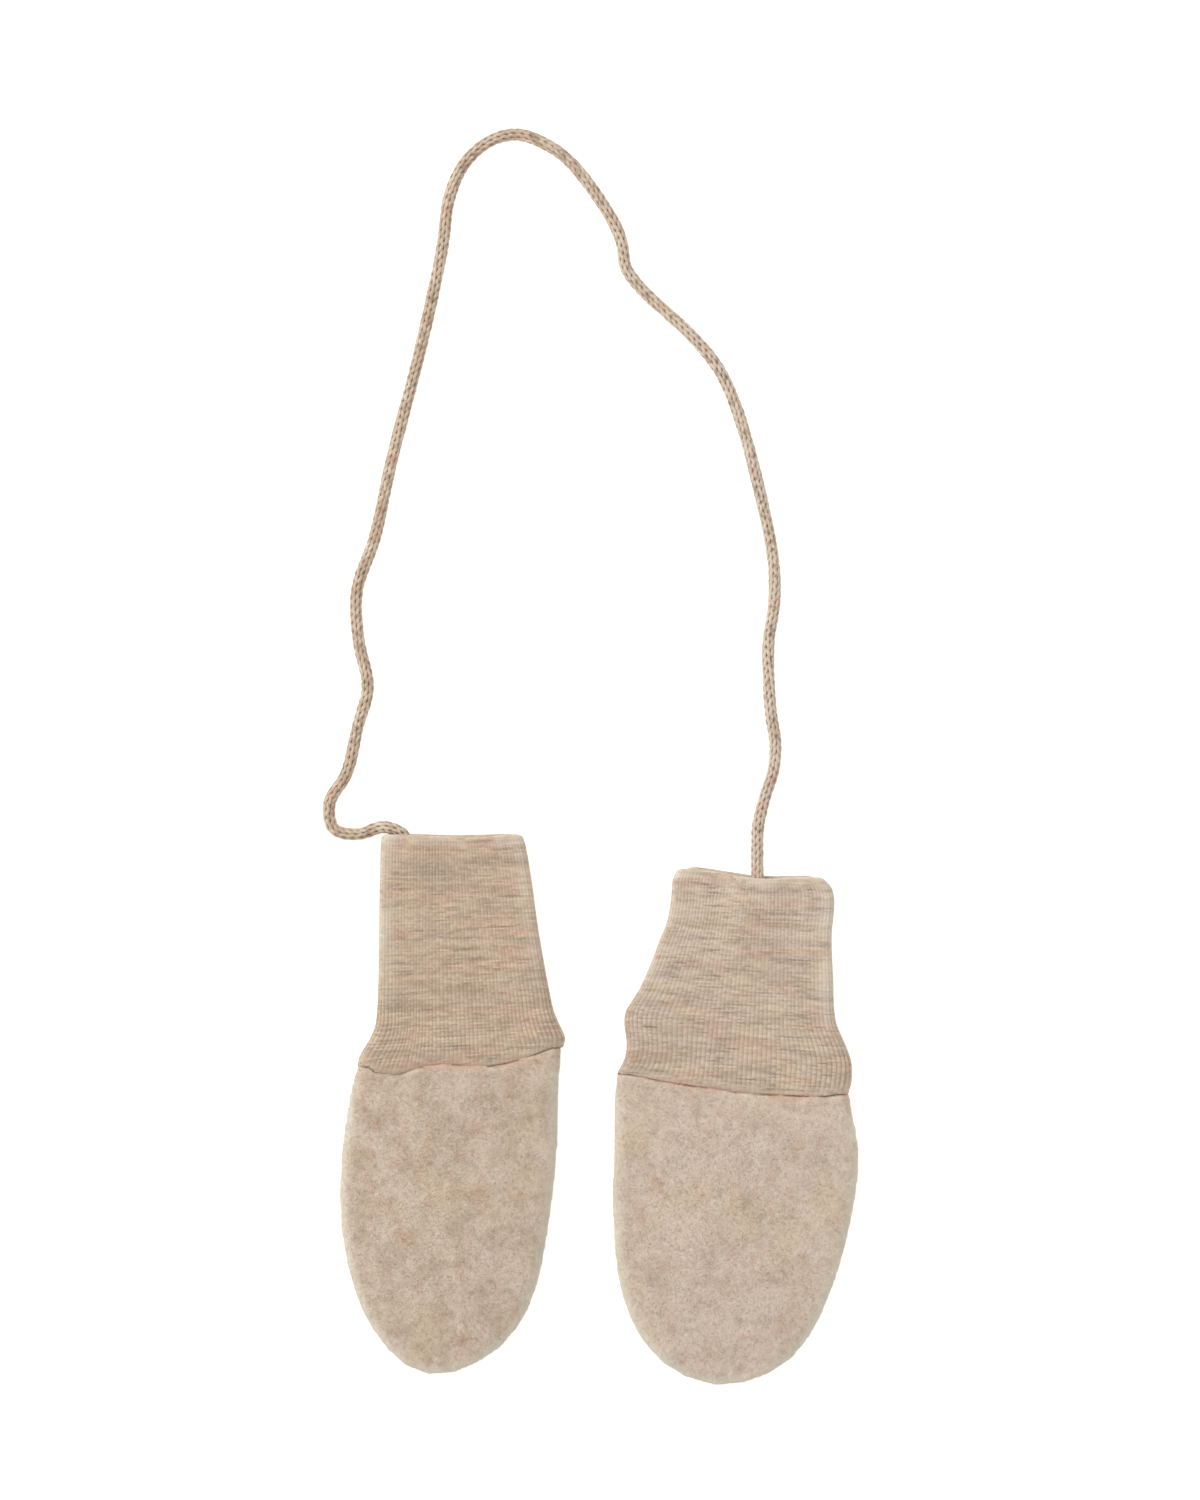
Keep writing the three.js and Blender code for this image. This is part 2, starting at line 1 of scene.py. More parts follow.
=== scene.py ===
# %% [markdown]
# # A pair of baby mittens, laid flat
# Two thumbless mittens lie side by side on a white table. Each has a pouch of thick brushed wool
# fleece and a cuff of fine rib knit, folded double at the wrist. One long knitted cord joins them.
# This lesson dresses the plain solids of that pair: soft fleece with a nap, raised ribs, and a cord
# that is really knitted. The solids give the places and the sizes; only the sewn edge between
# cuff and fleece is drawn again, as wavy as it really is.

# %% Load the solids
import math

import bmesh
import bpy
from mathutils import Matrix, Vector, kdtree, noise


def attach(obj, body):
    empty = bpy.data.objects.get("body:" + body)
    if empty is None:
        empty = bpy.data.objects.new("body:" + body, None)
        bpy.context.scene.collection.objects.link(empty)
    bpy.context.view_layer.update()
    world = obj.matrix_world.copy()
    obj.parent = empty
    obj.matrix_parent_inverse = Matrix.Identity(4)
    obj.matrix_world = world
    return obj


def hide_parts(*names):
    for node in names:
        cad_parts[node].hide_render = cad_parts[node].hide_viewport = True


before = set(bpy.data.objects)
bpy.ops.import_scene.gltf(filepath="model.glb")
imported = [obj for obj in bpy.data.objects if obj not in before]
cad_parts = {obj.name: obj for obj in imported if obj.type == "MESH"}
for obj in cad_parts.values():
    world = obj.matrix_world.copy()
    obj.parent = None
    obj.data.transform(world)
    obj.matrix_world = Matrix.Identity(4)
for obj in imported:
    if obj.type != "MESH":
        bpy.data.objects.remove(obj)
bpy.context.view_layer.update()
print("solids:", ", ".join(sorted(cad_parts)))

# %% [markdown]
# ## The camera
# The mittens were photographed from straight above, so the camera looks straight down. A pixel of
# the photograph is 0.32 mm of cloth, measured at the height of the mittens' rims. A long lens, far
# away, keeps the rims from leaning outwards.

# %% Camera
MM = 0.001
PIXEL = 0.32 * MM
PHOTO_WIDTH, PHOTO_HEIGHT = 1200, 1500
ORIGIN_PIXEL = (600, 1109)
RIM_HEIGHT = 3.0 * MM
LENS, SENSOR = 150.0, 36.0


def new_object(name, data):
    """An object at the origin of the scene that shows some data."""
    item = bpy.data.objects.new(name, data)
    bpy.context.scene.collection.objects.link(item)
    return item


camera_data = bpy.data.cameras.new("camera")
camera_data.lens = LENS
camera_data.sensor_width = SENSOR
camera = new_object("camera", camera_data)
camera_distance = LENS / SENSOR * PHOTO_HEIGHT * PIXEL
camera.location = (
    (PHOTO_WIDTH / 2 - ORIGIN_PIXEL[0]) * PIXEL,
    (ORIGIN_PIXEL[1] - PHOTO_HEIGHT / 2) * PIXEL,
    camera_distance + RIM_HEIGHT,
)
bpy.context.scene.camera = camera
print(f"camera {camera_distance:.2f} m above the rims")

# %% [markdown]
# ## Nodes written as code
# Materials and Geometry Nodes are both trees of nodes, and most of those nodes are small sums. To
# keep them easy to read, the output of a node is held here as a Wire. Wires can be added,
# subtracted, multiplied and divided like numbers, and each such step adds one Math node.

# %% Wires and nodes
class Wire:
    """The output of a node, with which sums can be written."""

    def __init__(self, tree, socket):
        self.tree = tree
        self.socket = socket

    def do(self, operation, *others):
        """One Math node on this output and others."""
        return math_node(self.tree, operation, self, *others)

    def vector(self, operation, other=None):
        """One Vector Math node on this output and another vector, or a number that scales it."""
        inputs = {0: self}
        if other is not None:
            inputs["Scale" if operation == "SCALE" else 1] = other
        pick = "Value" if operation == "DISTANCE" else "Vector"
        return add(self.tree, "ShaderNodeVectorMath", inputs, pick, operation=operation)

    def __add__(self, other):
        return self.do("ADD", other)

    def __sub__(self, other):
        return self.do("SUBTRACT", other)

    def __rsub__(self, number):
        return math_node(self.tree, "SUBTRACT", number, self)

    def __mul__(self, other):
        return self.do("MULTIPLY", other)

    def __truediv__(self, other):
        return self.do("DIVIDE", other)


def fill(tree, item, inputs):
    """Give a node's inputs their values; a Wire is linked."""
    for key, value in inputs.items():
        if isinstance(value, Wire):
            tree.links.new(value.socket, item.inputs[key])
        else:
            item.inputs[key].default_value = value


def add(tree, kind, inputs=None, pick=0, **settings):
    """Add a node and give the output that is picked, or all of them by name."""
    item = tree.nodes.new(kind)
    for key, value in settings.items():
        setattr(item, key, value)
    fill(tree, item, inputs or {})
    if pick is None:
        return {socket.name: Wire(tree, socket) for socket in item.outputs}
    return Wire(tree, item.outputs[pick])


def math_node(tree, operation, *values):
    return add(tree, "ShaderNodeMath", dict(enumerate(values)), operation=operation)


def parts(vector):
    """The three numbers of a vector."""
    return list(add(vector.tree, "ShaderNodeSeparateXYZ", {0: vector}, None).values())


def joined(x, y, z=0.0):
    """A vector from three numbers."""
    return add(x.tree, "ShaderNodeCombineXYZ", {0: x, 1: y, 2: z})


print("wires and nodes are ready")

# %% [markdown]
# ## The table and the light
# The photograph's table is pure white and throws light back at the rims. A light table does that:
# a plain pale plane that also glows a little, so soft shadows on it stay white. A white sky lights
# everything evenly, and one large soft lamp on the upper left gives the ribs and the nap a light
# side and a dark side. The Standard view keeps the cloth's colours as they are.

# %% Table and light
FLOOR_DROP = 0.2 * MM
FLOOR_HALF = 3.0
TABLE_WHITE, TABLE_GLOW = 0.93, 0.5
SKY_STRENGTH = 0.8
LAMP_PLACE, LAMP_SIZE, LAMP_POWER = (-1.2, 1.0, 1.2), 1.1, 21
WHITE = (1, 1, 1, 1)


def new_material(name):
    material = bpy.data.materials.new(name)
    material.use_nodes = True
    tree = material.node_tree
    return material, tree, tree.nodes["Principled BSDF"]


floor_mesh = bpy.data.meshes.new("table")
floor_mesh.from_pydata(
    [(FLOOR_HALF * x, FLOOR_HALF * y, -FLOOR_DROP) for x, y in ((-1, -1), (1, -1), (1, 1), (-1, 1))],
    [], [(0, 1, 2, 3)],
)
table = new_object("table", floor_mesh)
table_material, tree, surface = new_material("white_table")
fill(tree, surface, {
    "Base Color": (TABLE_WHITE, TABLE_WHITE, TABLE_WHITE, 1), "Roughness": 0.9,
    "Emission Color": WHITE, "Emission Strength": TABLE_GLOW,
})
floor_mesh.materials.append(table_material)

sky = bpy.data.worlds.new("white_sky")
sky.use_nodes = True
fill(sky.node_tree, sky.node_tree.nodes["Background"], {"Color": WHITE, "Strength": SKY_STRENGTH})
bpy.context.scene.world = sky
lamp_data = bpy.data.lights.new("softbox", "AREA")
lamp_data.shape = "DISK"
lamp_data.size = LAMP_SIZE
lamp_data.energy = LAMP_POWER
lamp = new_object("softbox", lamp_data)
lamp.location = LAMP_PLACE
lamp.rotation_euler = (-Vector(LAMP_PLACE)).to_track_quat("-Z", "Y").to_euler()
bpy.context.scene.view_settings.view_transform = "Standard"
print("table and light are ready")

# %% [markdown]
# ## The cord's route
# The cord is one limp knitted tube. It comes out of the right cuff, runs up and over in a tall
# loose arch and goes into the left cuff, in the wavy lines that a limp cord takes when it is laid
# down by hand. Its middle line is a list of given points, joined by a smooth curve that
# passes through each of them. The same curve carries the solid, so both lie in the same place.

# %% Route of the cord
CORD_POINTS_MM = [
    (50.4, 66.6, 3.5), (50.4, 72.8, 3.5), (50.3, 80.0, 2.6), (50.6, 90.4, 1.92),
    (52.6, 99.2, 1.92), (55.5, 108.5, 1.92), (56.1, 117.0, 1.92), (54.6, 127.5, 1.92),
    (53.9, 149.0, 1.92), (55.7, 161.5, 1.92), (55.5, 175.0, 1.92), (50.4, 200.5, 1.92),
    (43.7, 224.2, 1.92), (37.8, 237.1, 1.92), (29.4, 247.4, 1.92), (12.8, 263.0, 1.92),
    (8.2, 269.6, 1.92), (7.0, 277.0, 1.92), (3.9, 284.6, 1.92), (-9.3, 302.9, 1.92),
    (-17.6, 309.0, 1.92), (-26.9, 312.0, 1.92), (-35.8, 309.6, 1.92), (-43.8, 302.1, 1.92),
    (-48.5, 290.9, 1.92), (-50.3, 277.0, 1.92), (-57.4, 243.8, 1.92), (-66.9, 207.0, 1.92),
    (-72.1, 183.0, 1.92), (-77.9, 165.6, 1.92), (-77.2, 149.4, 1.92), (-74.4, 135.0, 1.92),
    (-77.6, 122.4, 1.92), (-81.2, 107.4, 1.92), (-86.6, 98.0, 1.92), (-85.2, 89.6, 1.92),
    (-77.4, 88.0, 2.0), (-69.2, 90.3, 2.9), (-62.9, 87.6, 3.5), (-60.8, 79.6, 3.5),
]
CORD_DIAMETER = 3.8 * MM
ROUTE_STEPS = 12


def through_points(points, steps):
    """A smooth line through every point, with more weight to near neighbours (centripetal)."""
    ends = [points[0] * 2 - points[1], *points, points[-1] * 2 - points[-2]]
    line = []
    for i in range(1, len(ends) - 2):
        a, b, c, d = ends[i - 1 : i + 3]
        t1 = (b - a).length ** 0.5
        t2 = t1 + (c - b).length ** 0.5
        t3 = t2 + (d - c).length ** 0.5
        for k in range(steps):
            t = t1 + (t2 - t1) * k / steps
            ab = a * ((t1 - t) / t1) + b * (t / t1)
            bc = b * ((t2 - t) / (t2 - t1)) + c * ((t - t1) / (t2 - t1))
            cd = c * ((t3 - t) / (t3 - t2)) + d * ((t - t2) / (t3 - t2))
            abc = ab * ((t2 - t) / t2) + bc * (t / t2)
            bcd = bc * ((t3 - t) / (t3 - t1)) + cd * ((t - t1) / (t3 - t1))
            line.append(abc * ((t2 - t) / (t2 - t1)) + bcd * ((t - t1) / (t2 - t1)))
    line.append(points[-1].copy())
    return line


cord_line = through_points([Vector(point) * MM for point in CORD_POINTS_MM], ROUTE_STEPS)
cord_length = sum((b - a).length for a, b in zip(cord_line, cord_line[1:]))
print(f"cord route: {len(cord_line)} points, {1000 * cord_length:.0f} mm")

# %% [markdown]
# ## Helpers for Geometry Nodes
# Three things here repeat or follow a path or a surface: the ribs of the cuffs, the fibres of the
# nap and the stitches of the cord. Each gets a small node tree, built below with named inputs. A
# modifier runs the tree once, its result is kept as a plain mesh, and the modifier goes.

# %% Geometry tree helpers
def new_tree(name, inputs):
    """A Geometry Nodes tree with one geometry in and out, and named inputs."""
    made = bpy.data.node_groups.new(name, "GeometryNodeTree")
    for label, kind in {"Geometry": "Geometry", **inputs}.items():
        made.interface.new_socket(label, in_out="INPUT", socket_type=f"NodeSocket{kind}")
    made.interface.new_socket("Geometry", in_out="OUTPUT", socket_type="NodeSocketGeometry")
    return made, add(made, "NodeGroupInput", pick=None)


def position(made):
    return add(made, "GeometryNodeInputPosition")


def named(made, name, kind="FLOAT"):
    """The value of a named attribute."""
    return add(made, "GeometryNodeInputNamedAttribute", {"Name": name}, "Attribute", data_type=kind)


def stored(geometry, name, value, kind="FLOAT", domain="POINT"):
    """The geometry with a value kept on it as a named attribute."""
    return add(geometry.tree, "GeometryNodeStoreNamedAttribute",
               {"Geometry": geometry, "Name": name, "Value": value}, data_type=kind, domain=domain)


def moved(geometry, place, how="Position"):
    """The geometry with its points put in a new place, or moved by an Offset."""
    return add(geometry.tree, "GeometryNodeSetPosition", {"Geometry": geometry, how: place})


def kept_above(geometry, floor):
    """The geometry with every point that is under the floor pushed up to it."""
    x, y, z = parts(position(geometry.tree))
    return moved(geometry, joined(x, y, z.do("MAXIMUM", floor)))


def finish_tree(geometry, material):
    """Every tree ends in real geometry with its own material."""
    made = geometry.tree
    real = add(made, "GeometryNodeRealizeInstances", {"Geometry": geometry})
    coated = add(made, "GeometryNodeSetMaterial", {"Geometry": real, "Material": material})
    fill(made, made.nodes.new("NodeGroupOutput"), {"Geometry": coated})
    return made


def plain_copy(source, name):
    """What an object's modifiers make, as a plain mesh object."""
    graph = bpy.context.evaluated_depsgraph_get()
    mesh = bpy.data.meshes.new_from_object(
        source.evaluated_get(graph), preserve_all_data_layers=True, depsgraph=graph)
    mesh.name = name
    return new_object(name, mesh)


def run_tree(source, made, values, name):
    """Run a tree on an object and keep the result as a plain mesh object."""
    modifier = source.modifiers.new("growth", "NODES")
    modifier.node_group = made
    for item in made.interface.items_tree:
        if item.item_type == "SOCKET" and item.in_out == "INPUT" and item.name in values:
            modifier[item.identifier] = values[item.name]
    piece = plain_copy(source, name)
    source.modifiers.remove(modifier)
    return piece


def triangles(piece):
    return sum(len(face.vertices) - 2 for face in piece.data.polygons)


print("helpers are ready")

# %% [markdown]
# ## The finish of the yarn and cloth
# All the wool is one oatmeal melange: cream, grey-brown and a little pink, never fully mixed. On
# the fleece the mix shows as soft blotches and fine flecks. On the knit it shows as short level
# streaks, because each row of stitches is one run of yarn. All patterns are in millimetres of
# cloth, so they keep their scale. Wool also has a pale sheen where the light grazes it.

# %% Colours and small shader helpers
def linear(*screen):
    """A screen colour from 0 to 255 as the linear colour that shaders take."""
    shares = [value / 255 for value in screen]
    return (*(share / 12.92 if share <= 0.04045 else ((share + 0.055) / 1.055) ** 2.4
              for share in shares), 1.0)


OATMEAL = linear(193, 171, 149)
CREAM = linear(216, 200, 180)
SHADE = linear(146, 126, 109)
BROWN = linear(112, 90, 72)
ROSE = linear(202, 158, 137)
STRAW = linear(218, 194, 158)
PALE = linear(222, 216, 199)
MILK = linear(222, 207, 192)
FIBRE_SHEEN = linear(240, 234, 218)


def millimetres(tree):
    """Object coordinates in millimetres."""
    return add(tree, "ShaderNodeTexCoord", pick="Object").vector("SCALE", 1 / MM)


def attribute(tree, name):
    return add(tree, "ShaderNodeAttribute", pick="Fac", attribute_name=name)


def cloud(place, size, detail=2.0, roughness=0.5, seed=0.0):
    """Noise with features of a size in millimetres."""
    return add(place.tree, "ShaderNodeTexNoise", {
        "Vector": place, "W": seed, "Scale": 1 / size, "Detail": detail, "Roughness": roughness,
    }, "Fac", noise_dimensions="4D")


def between(value, low, high, to_low=0.0, to_high=1.0):
    """Stretch a range of values to another, clamped and smooth."""
    return add(value.tree, "ShaderNodeMapRange", {
        "Value": value, "From Min": low, "From Max": high, "To Min": to_low, "To Max": to_high,
    }, "Result", interpolation_type="SMOOTHSTEP")


def blend(share, first, second):
    """Mix two colours."""
    return add(share.tree, "ShaderNodeMix", {0: share, 6: first, 7: second}, 2, data_type="RGBA")


def layered(body, rows):
    """Lay colours over a body colour, one after the other. A row is a value, the two ends of its
    range, how much of the colour there is at each end, and the colour."""
    for value, low, high, at_low, at_high, colour in rows:
        body = blend(between(value, low, high, at_low, at_high), body, colour)
    return body


def melange(place):
    """The wool's own drift of colour, the same in fleece, rib and cord. It is also painted lighter from
    left to right, painted light that makes the right mitten look more brightly lit."""
    body = blend(between(parts(place)[0], -35, 35, 0.0, 0.5), OATMEAL, MILK)
    return layered(body, [(cloud(place, 16, 2, 0.5, 2.0), 0.42, 0.66, 0.0, 0.18, STRAW)])


def seam_tint_and_shadow(place, body, away, warm, dark):
    """Tint cloth by its distance in millimetres from the sewn edge: warm near it, and a thread-wide
    line of painted shadow that comes and goes, where the cuff's roll meets the fleece."""
    warmth = between(cloud(place, 9, 2, 0.5, 31.0), 0.46, 0.62, 0.0, 0.5)
    body = blend(warmth * between(away, 0.0, warm, 1.0, 0.0), body, ROSE)
    # the thread-wide line is painted shadow
    line = between(cloud(place, 7, 2, 0.5, 33.0), 0.43, 0.57, 0.05, 0.95)
    return blend(line * between(away, 0.0, dark, 1.0, 0.0), body, BROWN)


def finish_wool(tree, surface, body, sheen, height, relief):
    """Wool is dull, with fine relief and the pale sheen of loose fibres. Plain values stay on the
    sockets."""
    bump = add(tree, "ShaderNodeBump", {"Height": height, "Distance": relief, "Strength": 1.0})
    fill(tree, surface, {
        "Base Color": body, "Normal": bump, "Roughness": 0.95, "Specular IOR Level": 0.1,
        "Sheen Weight": sheen, "Sheen Roughness": 0.6, "Sheen Tint": FIBRE_SHEEN,
    })


print("colours are ready")

# %% Fleece finish
def fleece_finish():
    """Soft blotches of several sizes, fine grain, rims painted paler as painted rim light, and a line of
    painted shadow under the cuff. The tint of a fibre is stored on it; the panels themselves have the
    middle tint."""
    material, tree, surface = new_material("brushed_fleece")
    place = millimetres(tree)

    def spots(size, seed, detail=3.0):
        return cloud(place, size, detail, 0.6, seed)

    grain = cloud(place, 0.8, 3, 0.8, 11.0)
    tufts = cloud(place, 0.45, 3, 0.8, 21.0)
    tint = attribute(tree, "tint")
    body = layered(melange(place), [
        (spots(8, 1.0), 0.3, 0.62, 0.0, 0.62, MILK),
        (spots(12, 5.0, 2.0), 0.52, 0.68, 0.0, 0.28, STRAW),
        (spots(6, 3.0, 5.0), 0.48, 0.74, 0.0, 0.34, SHADE),
        (spots(2.6, 9.0), 0.52, 0.72, 0.0, 0.3, SHADE),
        (spots(5, 7.0, 4.0), 0.52, 0.74, 0.0, 0.42, ROSE),
        (grain, 0.5, 0.7, 0.0, 0.55, SHADE),
        (grain, 0.3, 0.48, 0.55, 0.0, CREAM),
        (tint, 0.55, 1.0, 0.0, 0.75, CREAM),
        (tint, 0.0, 0.3, 0.55, 0.0, SHADE),
        # painted rim light: the fleece is painted paler near its outline
        (attribute(tree, "rim"), 0.0, 1.0, 0.0, 0.6, PALE),
    ])
    # warm tint and painted shadow along the cuff's sewn edge
    body = seam_tint_and_shadow(place, body, attribute(tree, "below"), 3.0, 0.6)
    finish_wool(tree, surface, body, 0.3, grain + tufts, 0.22 * MM)
    return material


fleece = fleece_finish()
print("fleece finish:", len(fleece.node_tree.nodes), "nodes")

# %% Rib knit finish
COURSE_MM = 0.52
ROWS_APART = 0.85
HEM_BAND_MM = (2.6, 3.8)
HEM_LINE_MM = 4.4


def knit_finish():
    """Each row of stitches is one run of yarn, so a dark stretch of yarn is a level streak one row
    high. Softer drifts over several rows lie under them. Near the wrist a paler band and a faint
    line show where the cloth is folded."""
    material, tree, surface = new_material("melange_rib")
    wale, down, ridge, rim, lip, wrist = (
        attribute(tree, name) for name in ("wale", "down", "ridge", "rim", "lip", "wrist"))
    place = millimetres(tree)
    x, _, z = parts(place)
    run = x + z * 4.0
    course = down / COURSE_MM + (wale.do("FRACT") - 0.5).do("ABSOLUTE")
    row = course.do("FLOOR")

    def yarn(length, seed):
        return cloud(joined(run / length, row * ROWS_APART, seed), 1.0, 2.5, 0.6, seed)

    def drift(length, height, seed):
        return cloud(joined(run / length, down / height, seed), 1.0, 2.0, 0.55, seed)

    body = layered(melange(place), [
        (drift(30, 3.5, 12.0), 0.42, 0.66, 0.0, 0.42, SHADE),
        (lip, 4, 75, 0.26, 0.0, SHADE),
        (drift(17, 3.0, 15.0), 0.5, 0.66, 0.0, 0.42, STRAW),
        (drift(17, 5.0, 8.0), 0.48, 0.66, 0.0, 0.45, ROSE),
        (yarn(15, 1.0), 0.46, 0.68, 0.0, 0.5, CREAM),
        (yarn(12, 4.0), 0.46, 0.68, 0.0, 0.6, SHADE),
    ])
    bunch = between(drift(18, 2.4, 23.0), 0.42, 0.6)
    body = blend(between(yarn(10, 19.0), 0.48, 0.68, 0.0, 0.55) * bunch, body, BROWN)
    single = add(tree, "ShaderNodeTexWhiteNoise", {"Vector": joined(wale.do("ROUND"), row)}, "Value")
    body = layered(body, [
        (single, 0.5, 1.0, 0.0, 0.25, SHADE),
        (single, 0.0, 0.5, 0.25, 0.0, CREAM),
        # painted shade in the grooves between the ribs
        (ridge, 0.1, 0.8, 0.44, 0.0, BROWN),
    ])
    # painted rim light: the side folds are painted paler, in patches
    pale = between(cloud(place, 12, 2, 0.5, 27.0), 0.35, 0.6, 0.1, 0.42)
    body = blend(rim * pale, body, PALE)
    hem = between(cloud(place, 10, 2, 0.5, 29.0), 0.4, 0.62)
    body = blend(hem * between(wrist, *HEM_BAND_MM, 0.32, 0.0), body, PALE)
    turn = between((wrist - HEM_LINE_MM).do("ABSOLUTE"), 0.2, 0.7, 0.32, 0.0)
    # warm tint and painted shadow at the sewn edge, on the cuff's roll
    body = seam_tint_and_shadow(place, blend(hem * turn, body, BROWN), lip, 2.5, 0.35)
    loops = (course * math.tau).do("SINE")
    finish_wool(tree, surface, body, 0.22, loops * 0.12 + cloud(place, 0.35, 3, 0.7), 0.14 * MM)
    return material


rib_knit = knit_finish()
print("rib knit finish:", len(rib_knit.node_tree.nodes), "nodes")

# %% Cord finish
def cord_finish():
    """Short runs of cream, grey-brown and pink yarn, with painted shade where the stitches sink
    inwards.
    """
    material, tree, surface = new_material("melange_yarn")
    place = millimetres(tree)
    body = layered(melange(place), [
        (cloud(place, 3.5, 2, 0.5, 6.0), 0.42, 0.62, 0.0, 0.75, CREAM),
        (cloud(place, 2.0, 3, 0.6, 5.0), 0.48, 0.68, 0.0, 0.8, SHADE),
        (cloud(place, 4, 2, 0.5, 9.0), 0.52, 0.7, 0.0, 0.6, ROSE),
        # painted shade on the yarn that lies deep in the cord
        (attribute(tree, "outward"), 0.68, 0.94, 0.7, 0.0, BROWN),
    ])
    finish_wool(tree, surface, body, 0.25, cloud(place, 0.3, 3, 0.7), 0.16 * MM)
    return material


yarn = cord_finish()
print("yarn finish:", len(yarn.node_tree.nodes), "nodes")

# %% [markdown]
# ## The knitted cord
# A cord like this comes off a spool: four columns of stitches round a hollow tube, worked in one
# endless spiral of yarn. A smooth tube with a bump would lose the small dark gaps between the
# stitches, and four braided strands would cross the wrong way. So the tree makes the real thing:
# points in a row, each moved to its place on the spiral of loops, with the loops' legs outside and
# their heads inside. The spiral follows the route, and a round profile turns it to yarn.

# %% Knitted cord tree
SECOND_SWAY = 2.7


def knitted_cord_tree():
    made, given = new_tree("knitted_cord", {
        "Length": "Float", "Stitches": "Int", "Stitch Points": "Int", "Wales": "Int",
        "Tube Radius": "Float", "Yarn Radius": "Float", "Loop Height": "Float",
        "Loop Width": "Float", "Loop Depth": "Float", "Sway": "Float", "Sways": "Float",
        "Yarn Sides": "Int", "Floor": "Float", "Material": "Material",
    })
    route = add(made, "GeometryNodeMeshToCurve", {"Mesh": given["Geometry"]})
    row = add(made, "GeometryNodeMeshLine", {"Count": given["Stitches"] * given["Stitch Points"]})
    stitch = add(made, "GeometryNodeInputIndex") / given["Stitch Points"]
    share = stitch / given["Stitches"]
    turn = stitch * math.tau
    lean = (turn * 2.0).do("SINE") * given["Loop Width"]
    wave = share * (given["Sways"] * math.tau)
    swing = wave.do("SINE") + (wave * SECOND_SWAY).do("SINE")
    angle = (stitch + lean) * math.tau / given["Wales"] + swing * given["Sway"]
    climb = turn.do("COSINE") * given["Loop Height"]
    place = add(made, "GeometryNodeSampleCurve", {
        "Curves": route, "Length": share * given["Length"] - climb,
    }, None, mode="LENGTH", use_all_curves=True)
    radius = given["Tube Radius"] - (turn * 2.0).do("COSINE") * given["Loop Depth"]
    side = place["Tangent"].vector("CROSS_PRODUCT", place["Normal"]).vector("NORMALIZE")
    spoke = place["Normal"].vector("SCALE", radius * angle.do("COSINE")).vector(
        "ADD", side.vector("SCALE", radius * angle.do("SINE")))
    spiral = moved(row, place["Position"].vector("ADD", spoke))
    spiral = stored(spiral, "core", place["Position"], "FLOAT_VECTOR")
    line = add(made, "GeometryNodeMeshToCurve", {"Mesh": spiral})
    ring = add(made, "GeometryNodeCurvePrimitiveCircle",
               {"Resolution": given["Yarn Sides"], "Radius": given["Yarn Radius"]})
    tube = add(made, "GeometryNodeCurveToMesh",
               {"Curve": line, "Profile Curve": ring, "Fill Caps": True})
    # outward is how far the yarn lies from the cord's middle, the mask of the painted shade
    away = position(made).vector("DISTANCE", named(made, "core", "FLOAT_VECTOR"))
    whole = given["Tube Radius"] + given["Loop Depth"] + given["Yarn Radius"]
    tube = kept_above(stored(tube, "outward", away / whole), given["Floor"])
    smooth = add(made, "GeometryNodeSetShadeSmooth", {"Geometry": tube})
    return finish_tree(smooth, given["Material"])


cord_tree = knitted_cord_tree()
print("knitted cord tree:", len(cord_tree.nodes), "nodes")

# %% Knit the cord
CORD_WALES = 4
COURSE_LENGTH = 2.6 * MM
YARN_RADIUS = 0.63 * MM
LOOP_DEPTH = 0.2 * MM
LOOSE = 0.2 * MM
TOUCH = 0.02 * MM

route_mesh = bpy.data.meshes.new("cord_route")
route_mesh.from_pydata(cord_line, [(i, i + 1) for i in range(len(cord_line) - 1)], [])
route = new_object("cord_route", route_mesh)
stitches = int(cord_length / COURSE_LENGTH) * CORD_WALES
cord = run_tree(route, cord_tree, {
    "Length": cord_length, "Stitches": stitches, "Stitch Points": 14, "Wales": CORD_WALES,
    "Tube Radius": CORD_DIAMETER / 2 - YARN_RADIUS - LOOP_DEPTH + LOOSE, "Yarn Radius": YARN_RADIUS,
    "Loop Height": 1.9 * MM, "Loop Width": 0.2, "Loop Depth": LOOP_DEPTH,
    "Sway": 0.35, "Sways": 4.0, "Yarn Sides": 6, "Floor": TOUCH, "Material": yarn,
}, "knitted_cord")
bpy.data.objects.remove(route)
print(f"cord: {stitches} stitches, {triangles(cord)} triangles")
